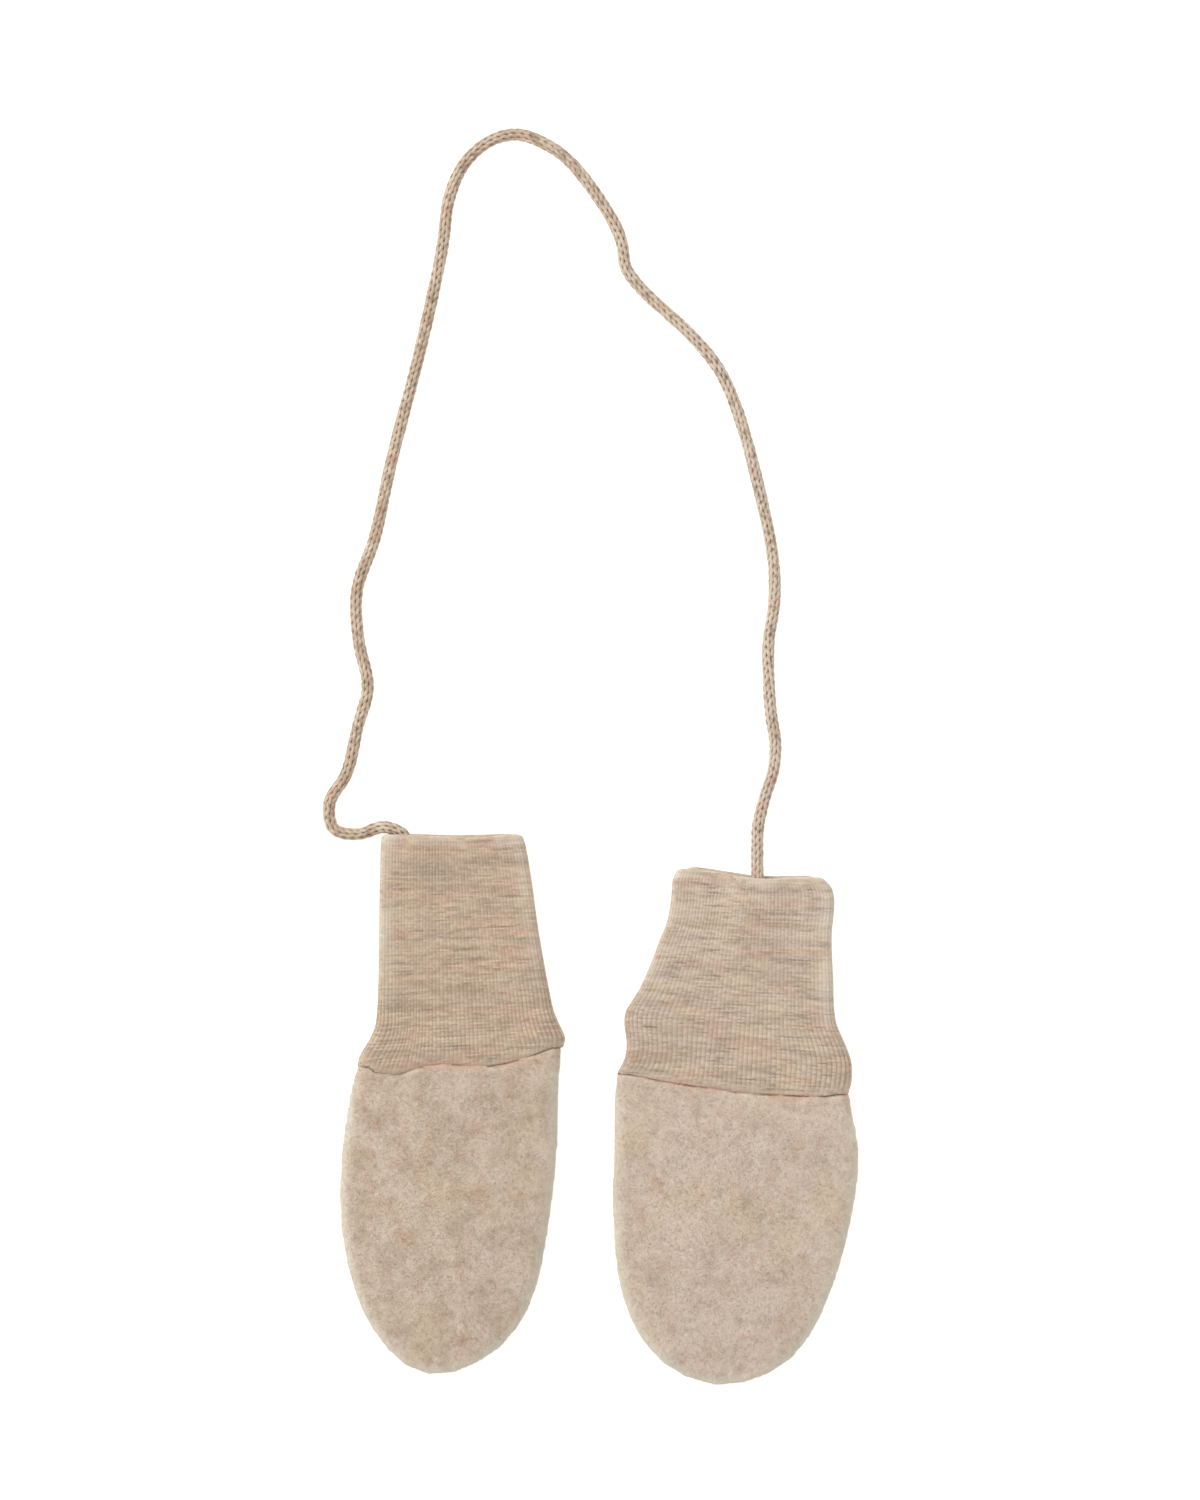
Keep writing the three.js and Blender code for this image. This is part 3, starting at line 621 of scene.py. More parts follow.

# %% [markdown]
# ## The cuffs
# A cuff is a tube of fine rib, folded double, so its wrist edge is a fold and its sewn edge is a
# soft roll. It could be one flat sheet with stripes, but then the outline and the fold would be
# wrong. So the tube is described by rings: closed lines round it, one after the other, from the
# wrist down the outside, round the sewn edge, up the inside and round the fold. Short tables give
# the edges and the height, and a formula gives each point. Six values ride on every point: how
# far down the cloth it is, how deep the ribs are there, how far the ribs are pulled sideways, how
# pale the fold at the side is painted as painted rim light, and how far away the sewn edge and the
# wrist edge are.

# %% Cuff tables
CUFFS_MM = {
    "left": {
        # down, left edge, right edge, height
        "sides": [
            (0.0, -70.0, -24.4, 4.8), (0.05, -70.4, -23.5, 4.8), (0.2, -70.7, -21.8, 4.8),
            (0.43, -71.0, -19.7, 4.9), (0.6, -71.1, -17.8, 5.0), (0.74, -71.4, -16.1, 5.3),
            (0.83, -72.1, -14.8, 6.2), (0.89, -74.0, -13.2, 7.3), (0.94, -76.2, -11.6, 7.9),
            (0.97, -77.3, -11.0, 8.1), (1.0, -77.8, -11.4, 7.8),
        ],
        # across, wrist edge of the front, wrist edge of the back
        "mouth": [
            (0.0, 87.9, 87.9), (0.15, 87.8, 88.0), (0.45, 87.2, 87.8), (0.8, 87.2, 87.9),
            (0.94, 87.8, 88.1), (1.0, 88.0, 88.0),
        ],
        # across, sewn edge
        "lip": [
            (0.0, 13.6), (0.035, 12.0), (0.12, 11.1), (0.2, 11.8), (0.27, 13.2), (0.34, 14.2),
            (0.45, 14.4), (0.57, 13.9), (0.65, 13.8), (0.72, 14.5), (0.79, 15.4), (0.86, 16.6),
            (0.92, 18.0), (1.0, 19.8),
        ],
        # across the whole width, where the solid panels turn in under the cuff
        "turned_in": [
            (0.0, 16.8), (0.07, 12.8), (0.16, 10.7), (0.26, 11.8), (0.36, 13.4), (0.5, 13.8),
            (0.64, 13.3), (0.76, 15.0), (0.88, 17.9), (1.0, 20.9),
        ],
        "hump": (-62.9, 3.4),
        # x, y, angle, length, width, depth
        "folds": [
            (-68.5, 17.0, 118, 24, 7, 0.7), (-19.0, 27.0, 52, 26, 8, 0.6),
            (-45.0, 24.0, 88, 22, 9, 0.4), (-47.0, 62.0, 174, 34, 10, 0.4),
            (-30.0, 36.0, 8, 30, 6, -0.3), (-58.0, 45.0, 172, 26, 6, -0.3),
        ],
        # across, width, how many ribs it is pulled
        "pulled": (0.05, 0.18, 0.7),
        # how pale the left and right folds are painted, as painted rim light
        "pale": (1.0, 0.5),
    },
    "right": {
        "sides": [
            (0.0, 24.0, 72.3, 4.8), (0.02, 23.4, 73.6, 4.8), (0.05, 22.9, 74.7, 4.8),
            (0.1, 22.7, 75.2, 4.8), (0.16, 22.3, 75.0, 4.8), (0.25, 21.2, 74.4, 4.8),
            (0.34, 18.9, 74.4, 4.8), (0.46, 16.0, 74.8, 4.9), (0.58, 12.6, 75.0, 5.1),
            (0.66, 9.4, 75.5, 5.4),
            (0.7, 8.0, 76.3, 5.7), (0.75, 7.6, 77.8, 6.0), (0.81, 8.0, 79.5, 6.4),
            (0.86, 8.3, 80.5, 7.0), (0.92, 7.9, 80.7, 7.8), (0.965, 6.8, 80.4, 8.1),
            (1.0, 5.4, 79.8, 7.8),
        ],
        "mouth": [
            (0.0, 76.9, 76.9), (0.05, 77.1, 77.4), (0.15, 76.6, 77.1), (0.35, 75.1, 75.9),
            (0.5, 74.1, 74.9), (0.65, 73.8, 74.5), (0.86, 74.2, 74.7), (0.95, 74.3, 74.6),
            (1.0, 74.2, 74.2),
        ],
        "lip": [
            (0.0, 11.3), (0.1, 9.9), (0.23, 8.3), (0.39, 6.8), (0.48, 5.8), (0.57, 5.1), (0.75, 4.6),
            (0.93, 4.3), (1.0, 4.9),
        ],
        "turned_in": [
            (0.0, 11.6), (0.15, 8.6), (0.32, 5.5), (0.45, 4.7), (0.62, 3.8), (0.79, 3.5),
            (0.94, 3.8), (1.0, 5.0),
        ],
        "hump": (50.4, 1.6),
        "folds": [
            (15.5, 26.0, 148, 24, 7, 0.8), (14.0, 15.0, 172, 24, 6, 0.5),
            (74.0, 17.0, 112, 24, 8, 0.6), (46.0, 52.0, 176, 40, 10, 0.4),
            (60.0, 34.0, 4, 28, 6, -0.3), (34.0, 40.0, 176, 26, 6, -0.3),
        ],
        "pulled": (0.05, 0.24, 1.2),
        "pale": (0.6, 1.0),
    },
}


def ease(share):
    share = min(max(share, 0.0), 1.0)
    return share * share * (3 - 2 * share)


def mix(low, high, share):
    return low + (high - low) * share


def along(rows, column, at):
    """A column of a table at a place between its rows, on a smooth curve through them."""
    at = min(max(at, rows[0][0]), rows[-1][0])
    row = next(i for i in range(len(rows) - 1) if at <= rows[i + 1][0])

    def slope(k):
        low, high = rows[max(k - 1, 0)], rows[min(k + 1, len(rows) - 1)]
        return (high[column] - low[column]) / (high[0] - low[0])

    first, second = rows[row], rows[row + 1]
    span = second[0] - first[0]
    t = (at - first[0]) / span
    value = first[column] * (1 + 2 * t) * (1 - t) ** 2 + second[column] * t * t * (3 - 2 * t)
    return value + span * (slope(row) * t * (1 - t) ** 2 - slope(row + 1) * t * t * (1 - t))


def fold_height(folds, x, y):
    """Height that the soft ridges and troughs of a table add at a place."""
    height = 0.0
    for fold_x, fold_y, angle, length, width, depth in folds:
        turn = math.radians(angle)
        dx, dy = x - fold_x, y - fold_y
        lengthwise = 2 * (dx * math.cos(turn) + dy * math.sin(turn)) / length
        crosswise = 2 * (dy * math.cos(turn) - dx * math.sin(turn)) / width
        height += depth * math.exp(-(crosswise**2)) * ease(1 - abs(lengthwise))
    return height


print("cuffs:", ", ".join(f"{side} {len(cuff['sides'])} rows" for side, cuff in CUFFS_MM.items()))

# %% Rings of the cuff
CUFF_WALL_MM, SEWN_WALL_MM, SEWN_TAPER = 2.0, 1.3, 0.82
HUMP_HEIGHT, HUMP_FADE, HUMP_DEPTH, HUMP_END = 2.7, 12, 7, 22
PRESS_TOP, PRESS_BOTTOM = 0.4, 0.7
RIB_REST = 0.24
CORNER_ROUND = 1.2
EDGE_SHARE = 0.4
ROW_TILT = 0.6
# width in millimetres of the painted rim light on the cuff's side folds
CUFF_RIM_LIGHT_REACH = 5.0
FRONT_STEPS, BACK_STEPS, SIDE_STEPS = 60, 30, 10
OUTER_RINGS, INNER_RINGS, EDGE_RINGS = 56, 12, 5


def ring_places():
    """Places round a ring, from the middle of the back: layer, share across, turn of the fold."""
    back = [("back", 0.5 - 0.5 * i / BACK_STEPS, 0) for i in range(BACK_STEPS)]
    left = [("fold", 0.0, math.pi * (1 - i / SIDE_STEPS)) for i in range(SIDE_STEPS)]
    front = [("front", i / FRONT_STEPS, 0) for i in range(FRONT_STEPS)]
    right = [("fold", 1.0, math.pi * i / SIDE_STEPS) for i in range(SIDE_STEPS)]
    under = [("back", 1 - 0.5 * i / BACK_STEPS, 0) for i in range(BACK_STEPS)]
    return back + left + front + right + under


def rib_place(cuff, down, across, left, right, inset):
    """Where a column of ribs lies across the cuff: straight in the middle, and along the real
    edges at the sides."""
    straight_left, straight_right = (mix(cuff["sides"][0][i], cuff["sides"][-1][i], down) for i in (1, 2))
    x = mix(straight_left + inset, straight_right - inset, across)
    x += (left - straight_left) * ease(1 - across / EDGE_SHARE)
    return x + (right - straight_right) * ease(1 - (1 - across) / EDGE_SHARE)


def cuff_point(cuff, place, down, depth, reach):
    """A point of the cuff in millimetres: depth is 0 outside and 1 inside the wall."""
    layer, across, turn = place
    left, right, height = (along(cuff["sides"], column, down) for column in (1, 2, 3))
    wall = mix(CUFF_WALL_MM, SEWN_WALL_MM, ease((down - SEWN_TAPER) / (1 - SEWN_TAPER)))
    radius = height / 2 - depth * wall
    corner = CORNER_ROUND * (2 * max(reach, 0.0) / CUFF_WALL_MM) ** 2
    left, right = left + corner, right - corner
    x = rib_place(cuff, down, across, left, right, depth * wall + radius)
    mouth = along(cuff["mouth"], 2 if layer == "back" else 1, across)
    lip = along(cuff["lip"], 1, across)
    y = mix(mouth - CUFF_WALL_MM / 2, lip + SEWN_WALL_MM / 2, down) + reach
    hump_x, hump_flat = cuff["hump"]
    open_across = ease(1 - (abs(x - hump_x) - hump_flat) / HUMP_FADE)
    open_share = open_across * ease(1 - (mouth - y - HUMP_DEPTH) / (HUMP_END - HUMP_DEPTH))
    fold = fold_height(cuff["folds"], x, y) * ease(down * 30) * ease((1 - down) * 20)
    top = height + fold + HUMP_HEIGHT * open_share - depth * (wall - PRESS_TOP * open_share)
    top += RIB_REST * (1 - depth)
    base = depth * (wall - PRESS_BOTTOM * open_share) + RIB_REST * (1 - depth)
    if layer == "back":
        return x, y, base
    if layer == "front":
        return x, y, top
    side = 1 if across == 1 else -1
    x += side * (radius - RIB_REST * (1 - depth)) * math.sin(turn)
    return x, y, (top + base) / 2 + (top - base) / 2 * math.cos(turn)


def cuff_rings():
    """Rings from the wrist down the outside, round the sewn edge, up the inside and back."""
    rings = [(i / (OUTER_RINGS - 1), 0.0, 0.0) for i in range(OUTER_RINGS)]
    half_turn = [math.pi * i / (EDGE_RINGS + 1) for i in range(1, EDGE_RINGS + 1)]
    edge = [((1 - math.cos(turn)) / 2, math.sin(turn) / 2) for turn in half_turn]
    rings += [(1.0, depth, -bulge * SEWN_WALL_MM) for depth, bulge in edge]
    rings += [(1 - i / (INNER_RINGS - 1), 1.0, 0.0) for i in range(INNER_RINGS)]
    rings += [(0.0, depth, bulge * CUFF_WALL_MM) for depth, bulge in reversed(edge)]
    return rings + [(0.0, 0.0, 0.0)]


def rib_relief(down, depth, across):
    """How deep the ribs are: fine at the wrist, open near the sewn edge, shallower in the roll and on
    the inside.
    """
    opened = ease((down - 0.5) / 0.35) * mix(0.6, 1.35, ease(abs(across - 0.5) * 4 - 1))
    ribs = mix(0.6, 0.85, opened) * mix(0.4, 1.0, ease(down * 25))
    return ribs * mix(1.0, 0.45, ease((down - 0.972) / 0.012)) * (1 - 0.8 * depth)


def cloth_run(cuff, across, y, down, depth):
    """Distance in millimetres down the cloth from the wrist fold; the inside counts backwards.
    The rows of stitches are straight, and turn a little with the two edges."""
    mouth, lip = cuff["mouth"], cuff["lip"]
    tilt = mix(mouth[-1][1] - mouth[0][1], lip[-1][1] - lip[0][1], down) * (across - 0.5)
    outside = along(mouth, 1, 0.5) - y + ROW_TILT * tilt
    turn = math.acos(1 - 2 * depth)
    if depth == 1:
        return -math.pi * CUFF_WALL_MM / 2 - outside
    if down == 0:
        return outside - turn * CUFF_WALL_MM / 2
    return outside + turn * SEWN_WALL_MM / 2


def edge_values(cuff, place, y, down, depth):
    """How pale the side folds are painted, as painted rim light, and the distance from the sewn edge
    and from the wrist.
    """
    left, right = (along(cuff["sides"], column, 0.5) for column in (1, 2))
    across = place[1]
    rim_lights = [weight * ease(1 - inward * (right - left) / CUFF_RIM_LIGHT_REACH)
            for weight, inward in zip(cuff["pale"], (across, 1 - across))]
    rim = max(rim_lights) * ease(1 - (down - 0.45) / 0.35)
    lip = y - (along(cuff["lip"], 1, across) - SEWN_WALL_MM * 0.3)
    wrist = along(cuff["mouth"], 2 if place[0] == "back" else 1, across) - y
    return rim, max(lip - 2 * depth, 0.0), wrist


places = ring_places()
rings = cuff_rings()
print(f"cuff: {len(rings)} rings of {len(places)} points")

# %% Rings as a mesh of closed lines
def ring_mesh(side):
    """The rings of one cuff, with the values that ride on their points."""
    cuff = CUFFS_MM[side]
    count = len(places)
    points, cloth, edge_marks, edges = [], [], [], []
    pulled_at, pulled_width, pulled_ribs = cuff["pulled"]
    for down, depth, reach in rings:
        start = len(points)
        for place in places:
            across = place[1]
            x, y, z = cuff_point(cuff, place, down, depth, reach)
            points.append(Vector((x, y, z)) * MM)
            pull = pulled_ribs * ease((down - 0.76) / 0.24) * ease(
                1 - abs(across - pulled_at) / pulled_width)
            if place[0] == "back":
                pull = 0.0
            run = cloth_run(cuff, across, y - reach, down, depth)
            cloth.append((run, rib_relief(down, depth, across), pull))
            edge_marks.append(edge_values(cuff, place, y, down, depth))
        edges += [(start + i, start + (i + 1) % count) for i in range(count)]
    mesh = bpy.data.meshes.new(f"{side}_cuff_rings")
    mesh.from_pydata(points, edges, [])
    for name, rows in (("cloth", cloth), ("edge_marks", edge_marks)):
        layer = mesh.attributes.new(name, "FLOAT_VECTOR", "POINT")
        layer.data.foreach_set("vector", [value for row in rows for value in row])
    return new_object(mesh.name, mesh)


carriers = {side: ring_mesh(side) for side in CUFFS_MM}
for carrier in carriers.values():
    print(carrier.name, len(carrier.data.vertices), "points")

# %% [markdown]
# ## The ribs
# Rib knit is a row of upright columns with narrow valleys between them. The tree lays a fine grid
# over the rings, one line of the grid to a ring, and then moves each point in or out by its place
# in the column: a wide round ridge and a narrow groove. Six points a rib are enough for that. The
# columns waver a little, since no real fabric is even.

# %% Rib knit tree
WAVER_COLUMNS, WAVER_MM = 40.0, 9.0
JOIN_FADE = 20.0
GROOVE_POWER = 0.7


def rib_knit_tree():
    made, given = new_tree("rib_knit", {
        "Rings": "Int", "Ring Points": "Int", "Ribs": "Int", "Points per Rib": "Int",
        "Rib Height": "Float", "Waver": "Float", "Merge Distance": "Float", "Material": "Material",
    })
    columns = given["Ribs"] * given["Points per Rib"] + 1.0
    skin = add(made, "GeometryNodeMeshGrid", {"Vertices X": given["Rings"], "Vertices Y": columns})
    index = add(made, "GeometryNodeInputIndex")
    ring = ((index + 0.5) / columns).do("FLOOR")
    column = index - ring * columns
    share = column / (columns - 1.0)
    count = given["Ring Points"]
    at = share * count
    part = at.do("FRACT")

    def sampled(value):
        """A vector of the ring's points at this column, between its two nearest points."""
        ends = []
        for step in (0.0, 1.0):
            point = ring * count + (at.do("FLOOR") + step).do("MODULO", count)
            ends.append(add(made, "GeometryNodeSampleIndex", {
                "Geometry": given["Geometry"], "Value": value, "Index": point,
            }, "Value", data_type="FLOAT_VECTOR", domain="POINT"))
        gap = ends[1].vector("SUBTRACT", ends[0])
        return ends[0].vector("ADD", gap.vector("SCALE", part))

    def carried(name):
        """The three values of one of the rings' vector attributes, at this column."""
        return parts(sampled(named(made, name, "FLOAT_VECTOR")))

    place = sampled(position(made))
    down, depth, pull = carried("cloth")
    # rim is how pale the side fold is painted, the painted rim light
    rim, lip, wrist = carried("edge_marks")
    spot = joined(column / WAVER_COLUMNS, down / WAVER_MM)
    stray = add(made, "ShaderNodeTexNoise", {"Vector": spot, "Scale": 1.0, "Detail": 2.0}, "Fac") - 0.5
    from_join = share.do("MINIMUM", 1.0 - share)
    stray = stray * (from_join * JOIN_FADE).do("MINIMUM", 1.0)
    wale = column / given["Points per Rib"] + (pull + stray * given["Waver"])
    corner_wale = add(made, "GeometryNodeFieldOnDomain", {"Value": wale}, data_type="FLOAT", domain="POINT")
    ridge = (wale * math.pi).do("COSINE").do("ABSOLUTE").do("POWER", GROOVE_POWER)
    skin = stored(skin, "wale", corner_wale, domain="CORNER")
    # ridge is low in the grooves, where the material paints shade
    for name, value in (
            ("down", down), ("ridge", 1.0 - (1.0 - ridge) * depth), ("rim", rim), ("lip", lip),
            ("wrist", wrist), ("lift", (ridge - 0.5) * (depth * given["Rib Height"]))):
        skin = stored(skin, name, value)
    skin = add(made, "GeometryNodeMergeByDistance",
               {"Geometry": moved(skin, place), "Distance": given["Merge Distance"]})
    offset = add(made, "GeometryNodeInputNormal").vector("SCALE", named(made, "lift"))
    skin = add(made, "GeometryNodeSetShadeSmooth", {"Geometry": moved(skin, offset, "Offset")})
    return finish_tree(skin, given["Material"])


rib_tree = rib_knit_tree()
print("rib knit tree:", len(rib_tree.nodes), "nodes")

# %% Knit the cuffs
RIBS_ROUND = 100
RIB_HEIGHT = 0.31 * MM


def face_out(piece):
    """Turn the faces out if the closed mesh is inside out, and give its volume."""
    work = bmesh.new()
    work.from_mesh(piece.data)
    if work.calc_volume(signed=True) < 0:
        bmesh.ops.reverse_faces(work, faces=work.faces)
        work.to_mesh(piece.data)
    loose = sum(1 for edge in work.edges if not edge.is_manifold)
    volume = abs(work.calc_volume(signed=True))
    work.free()
    return volume, loose


cuffs = {}
for side, carrier in carriers.items():
    cuffs[side] = run_tree(carrier, rib_tree, {
        "Rings": len(rings), "Ring Points": len(places), "Ribs": RIBS_ROUND, "Points per Rib": 6,
        "Rib Height": RIB_HEIGHT, "Waver": 0.3, "Merge Distance": TOUCH, "Material": rib_knit,
    }, f"{side}_rib_cuff")
    bpy.data.objects.remove(carrier)
    volume, loose = face_out(cuffs[side])
    lowest = min(vertex.co.z for vertex in cuffs[side].data.vertices)
    print(f"{side} cuff: {triangles(cuffs[side])} triangles, {volume * 1e6:.1f} cm3, "
          f"{loose} open edges, lowest {1000 * lowest:.2f} mm")

# %% [markdown]
# ## The fleece pouches
# Each pouch is two panels of thick fleece, sewn together round the curved edge and turned, so the
# seam hides inside a soft round rim. The panel's solid already has that form, in flat facets. A
# copy of it is rebuilt from small even faces and smoothed, which keeps the form and loses the
# facets. Its upper edge is pushed up under the cuff's sewn edge. Cloth laid down by hand is never
# flat, so the panel then gets soft waves and a few creases from a short table, and the fine lumps
# of a brushed nap.

# %% Even, smooth copy of a solid
VOXEL = 0.8 * MM
SMOOTH_ROUNDS = 10


def fine_copy(node, name):
    """A copy of a solid, rebuilt from small even faces and smoothed."""
    mesh = bpy.data.meshes.new(name + "_rough")
    work = bmesh.new()
    work.from_mesh(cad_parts[node].data)
    bmesh.ops.remove_doubles(work, verts=work.verts, dist=0.001 * MM)
    work.to_mesh(mesh)
    work.free()
    rough = new_object(mesh.name, mesh)
    remesh = rough.modifiers.new("even", "REMESH")
    remesh.mode = "VOXEL"
    remesh.voxel_size = VOXEL
    smooth = rough.modifiers.new("soft", "SMOOTH")
    smooth.factor = 0.5
    smooth.iterations = SMOOTH_ROUNDS
    piece = plain_copy(rough, name)
    bpy.data.objects.remove(rough)
    return piece


fine = {}
for side in CUFFS_MM:
    for layer in ("front", "back"):
        fine[side, layer] = fine_copy(f"{side}_pouch_{layer}", f"{side}_fleece_{layer}")
        print(f"{fine[side, layer].name}: {triangles(fine[side, layer])} triangles")

# %% Waves, creases and lumps
# x, y, angle, length, width, depth
CREASES_MM = {
    "left": [
        (-48.6, -80.5, 96, 13, 3.0, -0.6), (-53.5, -79.0, 76, 10, 2.6, -0.35),
        (-43.5, -78.0, 118, 10, 2.6, -0.3), (-30.0, -30.0, 70, 30, 7, -0.25),
        (-60.0, -40.0, 100, 26, 8, 0.25),
    ],
    "right": [
        (45.8, -84.0, 66, 12, 3.0, -0.6), (40.0, -84.0, 90, 9, 2.6, -0.35),
        (51.5, -80.5, 52, 10, 2.6, -0.3), (24.0, -40.0, 96, 28, 8, -0.25),
        (62.0, -26.0, 66, 30, 8, 0.25),
    ],
}
# size across the cloth, step of the seed, height
WAVES_MM = [(19, 0, 0.4), (8, 5, 0.14)]
WAVE_SEEDS = {("left", "front"): 0, ("left", "back"): 20, ("right", "front"): 40, ("right", "back"): 60}
# size, height
TUFTS_MM = [(2.1, 0.1), (1.1, 0.06)]
SPINES_MM = {"left": -50.5, "right": 40.6}
TIP_CENTRE_MM = -55.0
UPPER_FROM, UPPER_SPAN = 3.6, 4
SHOULDER_HEIGHT, SHOULDER_PLACE, SHOULDER_WIDTH = 0.5, 1.2, 1.8
TUCK, TUCK_FADE = 1.9, 8.0
# width in millimetres of the painted rim light on the fleece
RIM_LIGHT_REACH = 4.5


def waves(side, layer, x, y):
    """Soft height of a panel in millimetres."""
    seed = WAVE_SEEDS[side, layer]
    broad, small = (
        noise.noise(Vector((x / size, y / size, seed + step))) * height
        for size, step, height in WAVES_MM)
    return broad + small + fold_height(CREASES_MM[side], x, y)


def lumps(point):
    """Height of the nap's tufts in millimetres."""
    return sum(noise.noise(point / size) * height for size, height in TUFTS_MM)


def faces_outside(side, layer, point, normal):
    """Whether a place of the wall is on the outside of the pouch."""
    if abs(normal.z) > 0.5:
        return normal.z * (1 if layer == "front" else -1) > 0
    away = point - Vector((SPINES_MM[side], max(point.y, TIP_CENTRE_MM), 0))
    return normal.x * away.x + normal.y * away.y > 0


def upper(z):
    """1 on the upper wall of the mitten, 0 on the lower one, by its height."""
    return ease((z - UPPER_FROM) / UPPER_SPAN)


def shoulder(x, below):
    """The soft swelling of the fleece just below the cuff, uneven from place to place."""
    height = SHOULDER_HEIGHT * (1 + 1.6 * noise.noise(Vector((x / 7, 3.0, 0.0))))
    return height * math.exp(-(((below - SHOULDER_PLACE) / SHOULDER_WIDTH) ** 2))


def tucked(cuff, x, y):
    """How far the cloth is pushed up under the cuff, and its place below the sewn edge."""
    left, right, height = cuff["sides"][-1][1:4]
    plain = along(cuff["turned_in"], 1, (x - left) / (right - left))
    seam = along(cuff["lip"], 1, (x - left - height / 2) / (right - left - height))
    tuck = TUCK * (1 + 0.8 * noise.noise(Vector((x / 6, 8.0, 0.0))))
    push = (seam - plain + tuck) * ease(1 - (plain - y - 0.5) / TUCK_FADE)
    return push, seam - y - push


def outline_tree(mesh):
    """The panel's outline seen from above, ready to be searched for its nearest point."""
    rim = [vertex.co for vertex in mesh.vertices if abs(vertex.normal.z) < 0.25]
    tree = kdtree.KDTree(len(rim))
    for i, point in enumerate(rim):
        tree.insert((point.x / MM, point.y / MM, 0.0), i)
    tree.balance()
    return tree


def soften(side, layer, piece):
    """Give one panel its waves, creases and tufts, and mark where its nap grows."""
    mesh = piece.data
    cuff = CUFFS_MM[side]
    outline = outline_tree(mesh)
    nap, rim_lights, seams, moved = [], [], [], []
    for vertex in mesh.vertices:
        point, normal = vertex.co / MM, vertex.normal
        outside = faces_outside(side, layer, point, normal)
        from_rim = outline.find((point.x, point.y, 0.0))[2]
        push, below = tucked(cuff, point.x, point.y)
        point.y += push
        free = ease((below - 0.5) / 6)
        if outside:
            point = point + normal * lumps(point) * ease(below - 0.2)
        if layer == "front":
            point.z += waves(side, layer, point.x, point.y) * free * upper(point.z)
            point.z += shoulder(point.x, below) * upper(point.z) if outside else 0.0
        else:
            point.z += abs(waves(side, layer, point.x, point.y)) * free * ease(1 - point.z / UPPER_SPAN)
        point.z = max(point.z, 0.0)
        moved += [point.x * MM, point.y * MM, point.z * MM]
        nap.append(ease((below - 0.2) / 1.5) if outside else 0.0)
        # painted rim light: paler within a few millimetres of the outline, not under the cuff
        rim_lights.append(ease(1 - from_rim / RIM_LIGHT_REACH) * ease(below / 12))
        seams.append(max(below, 0.0))
    mesh.vertices.foreach_set("co", moved)
    for name, values in (
            ("nap", nap), ("tint", [0.5] * len(nap)), ("rim", rim_lights), ("below", seams)):
        mesh.attributes.new(name, "FLOAT", "POINT").data.foreach_set("value", values)
    mesh.materials.clear()
    mesh.materials.append(fleece)
    mesh.polygons.foreach_set("material_index", [0] * len(mesh.polygons))
    mesh.polygons.foreach_set("use_smooth", [True] * len(mesh.polygons))
    mesh.update()


for (side, layer), piece in fine.items():
    soften(side, layer, piece)
    lowest = min(vertex.co.z for vertex in piece.data.vertices)
    print(f"{piece.name}: lowest {1000 * lowest:.2f} mm")

# %% [markdown]
# ## The nap
# Brushing pulls fibre ends out of the fleece. They lie nearly flat, point every way, and blur the
# mitten's outline. A bump can't leave the surface, so the tree scatters real fibres: each is a
# narrow bowed ribbon of two faces, turned at random and tinted as one wool hair of the melange.

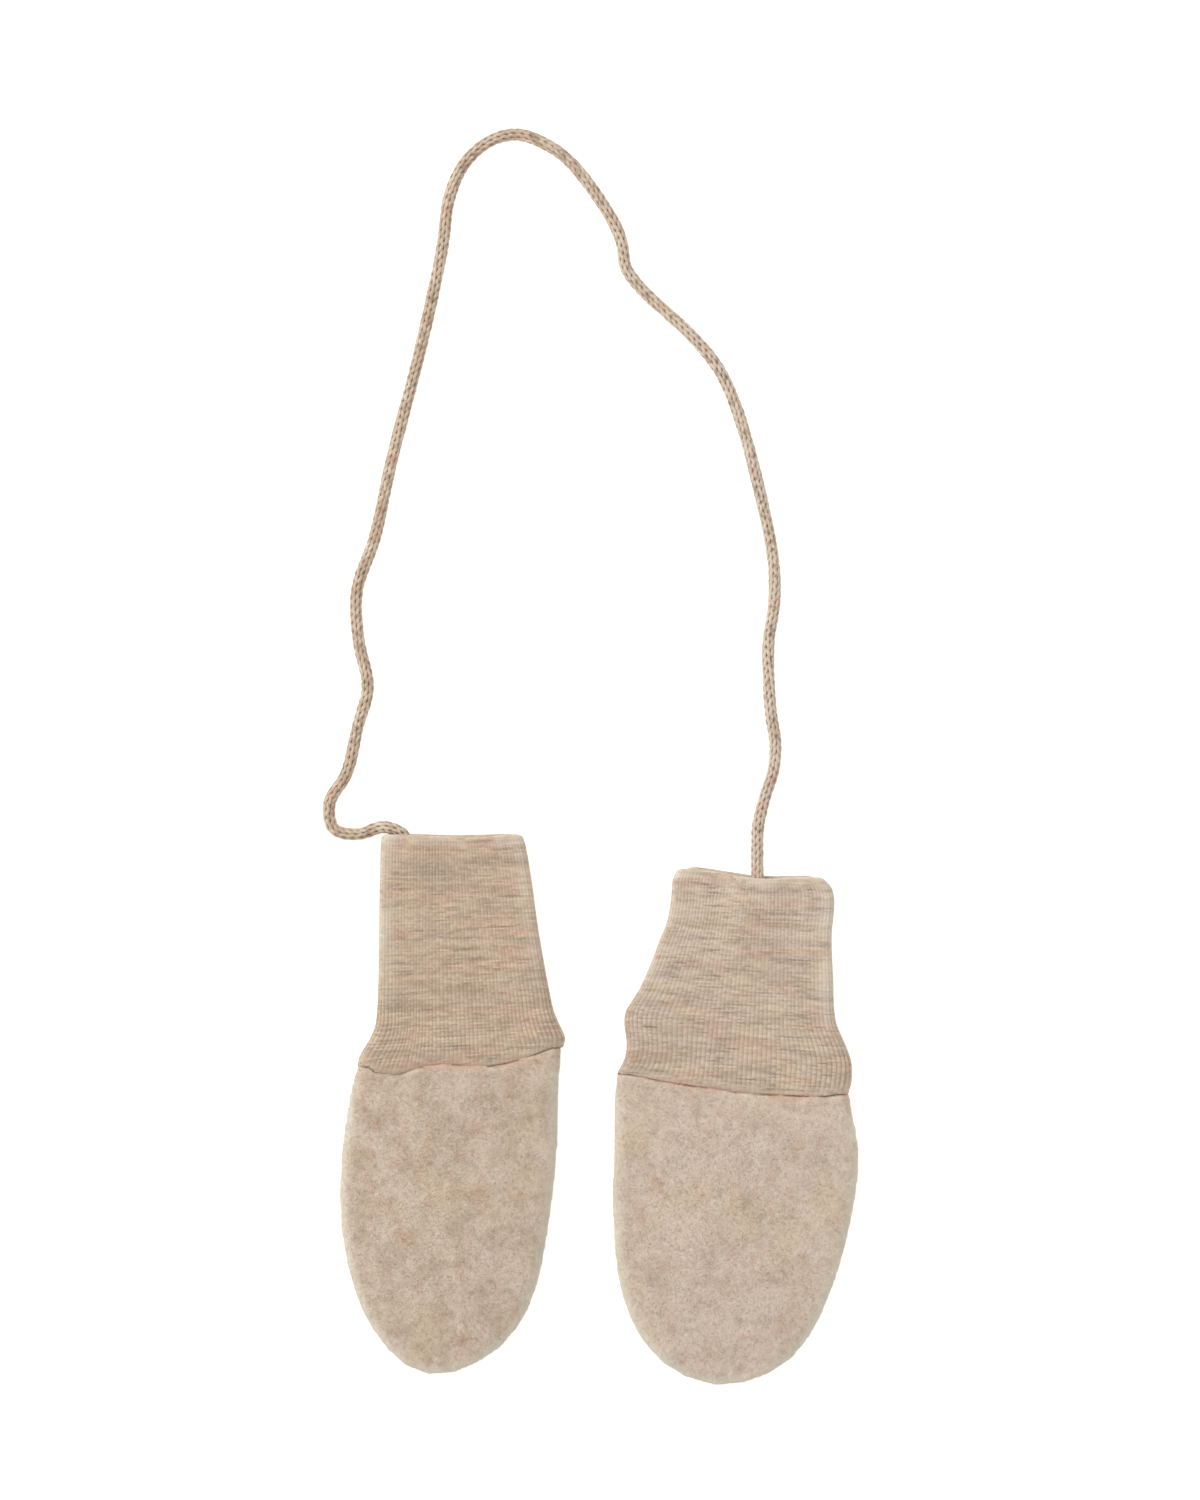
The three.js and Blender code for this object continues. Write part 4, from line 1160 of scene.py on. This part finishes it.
# %% Nap tree
def nap_tree():
    made, given = new_tree("brushed_nap", {
        "Density": "Float", "Length": "Float", "Width": "Float", "Tip Width": "Float",
        "Side Bow": "Float", "Down Bow": "Float", "Least Lift": "Float", "Most Lift": "Float",
        "Floor": "Float", "Seed": "Int", "Material": "Material",
    })

    def chance(low, high, step):
        seed = given["Seed"] + float(step)
        return add(made, "FunctionNodeRandomValue", {2: low, 3: high, "Seed": seed}, 1, data_type="FLOAT")

    roots = add(made, "GeometryNodeDistributePointsOnFaces", {
        "Mesh": given["Geometry"], "Density": named(made, "nap") * given["Density"],
        "Seed": given["Seed"],
    }, None)
    hairs = stored(roots["Points"], "tint", chance(0.0, 1.0, 1))
    strip = add(made, "GeometryNodeMeshGrid", {
        "Size X": given["Width"], "Size Y": given["Length"], "Vertices X": 2, "Vertices Y": 3})
    x, y, _ = parts(position(made))
    share = y / given["Length"] + 0.5
    taper = 1.0 - share * (1.0 - given["Tip Width"])
    bow = share * share * given["Length"]
    shape = joined(x * taper + bow * given["Side Bow"], share * given["Length"], bow * given["Down Bow"])
    lean = joined(chance(given["Least Lift"], given["Most Lift"], 2), 0.0, chance(0.0, math.tau, 3))
    turned = add(made, "FunctionNodeRotateRotation", {
        "Rotation": roots["Rotation"],
        "Rotate By": add(made, "FunctionNodeEulerToRotation", {0: lean}),
    }, rotation_space="LOCAL")
    coat = add(made, "GeometryNodeInstanceOnPoints", {
        "Points": hairs, "Instance": moved(strip, shape), "Rotation": turned,
        "Scale": chance(0.55, 1.2, 4),
    })
    coat = add(made, "GeometryNodeRealizeInstances", {"Geometry": coat})
    return finish_tree(kept_above(coat, given["Floor"]), given["Material"])


hair_tree = nap_tree()
print("nap tree:", len(hair_tree.nodes), "nodes")

# %% Grow the nap
FIBRES_PER_MM2 = {"front": 5.0, "back": 1.6}
NAP_SEEDS = {("left", "front"): 11, ("left", "back"): 12, ("right", "front"): 13, ("right", "back"): 14}

naps = {}
for (side, layer), piece in fine.items():
    naps[side, layer] = run_tree(piece, hair_tree, {
        "Density": FIBRES_PER_MM2[layer] / MM**2, "Length": 1.7 * MM, "Width": 0.06 * MM,
        "Tip Width": 0.3, "Side Bow": 0.35, "Down Bow": -0.25, "Least Lift": 0.22, "Most Lift": 0.6,
        "Floor": TOUCH, "Seed": NAP_SEEDS[side, layer], "Material": fleece,
    }, f"{side}_nap_{layer}")
    print(f"{naps[side, layer].name}: {triangles(naps[side, layer])} triangles")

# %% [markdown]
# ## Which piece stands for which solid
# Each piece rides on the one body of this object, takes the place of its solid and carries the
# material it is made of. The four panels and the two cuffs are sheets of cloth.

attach(cord, "root")
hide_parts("cord")
for side, cuff in cuffs.items():
    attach(cuff, "root")
    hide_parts(f"{side}_cuff")
for (side, layer), piece in fine.items():
    nap = naps[side, layer]
    for part in (piece, nap):
        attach(part, "root")
    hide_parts(f"{side}_pouch_{layer}")
made_pieces = [cord, *cuffs.values(), *fine.values(), *naps.values()]
print("pieces:", len(made_pieces), "triangles:", sum(triangles(piece) for piece in made_pieces))
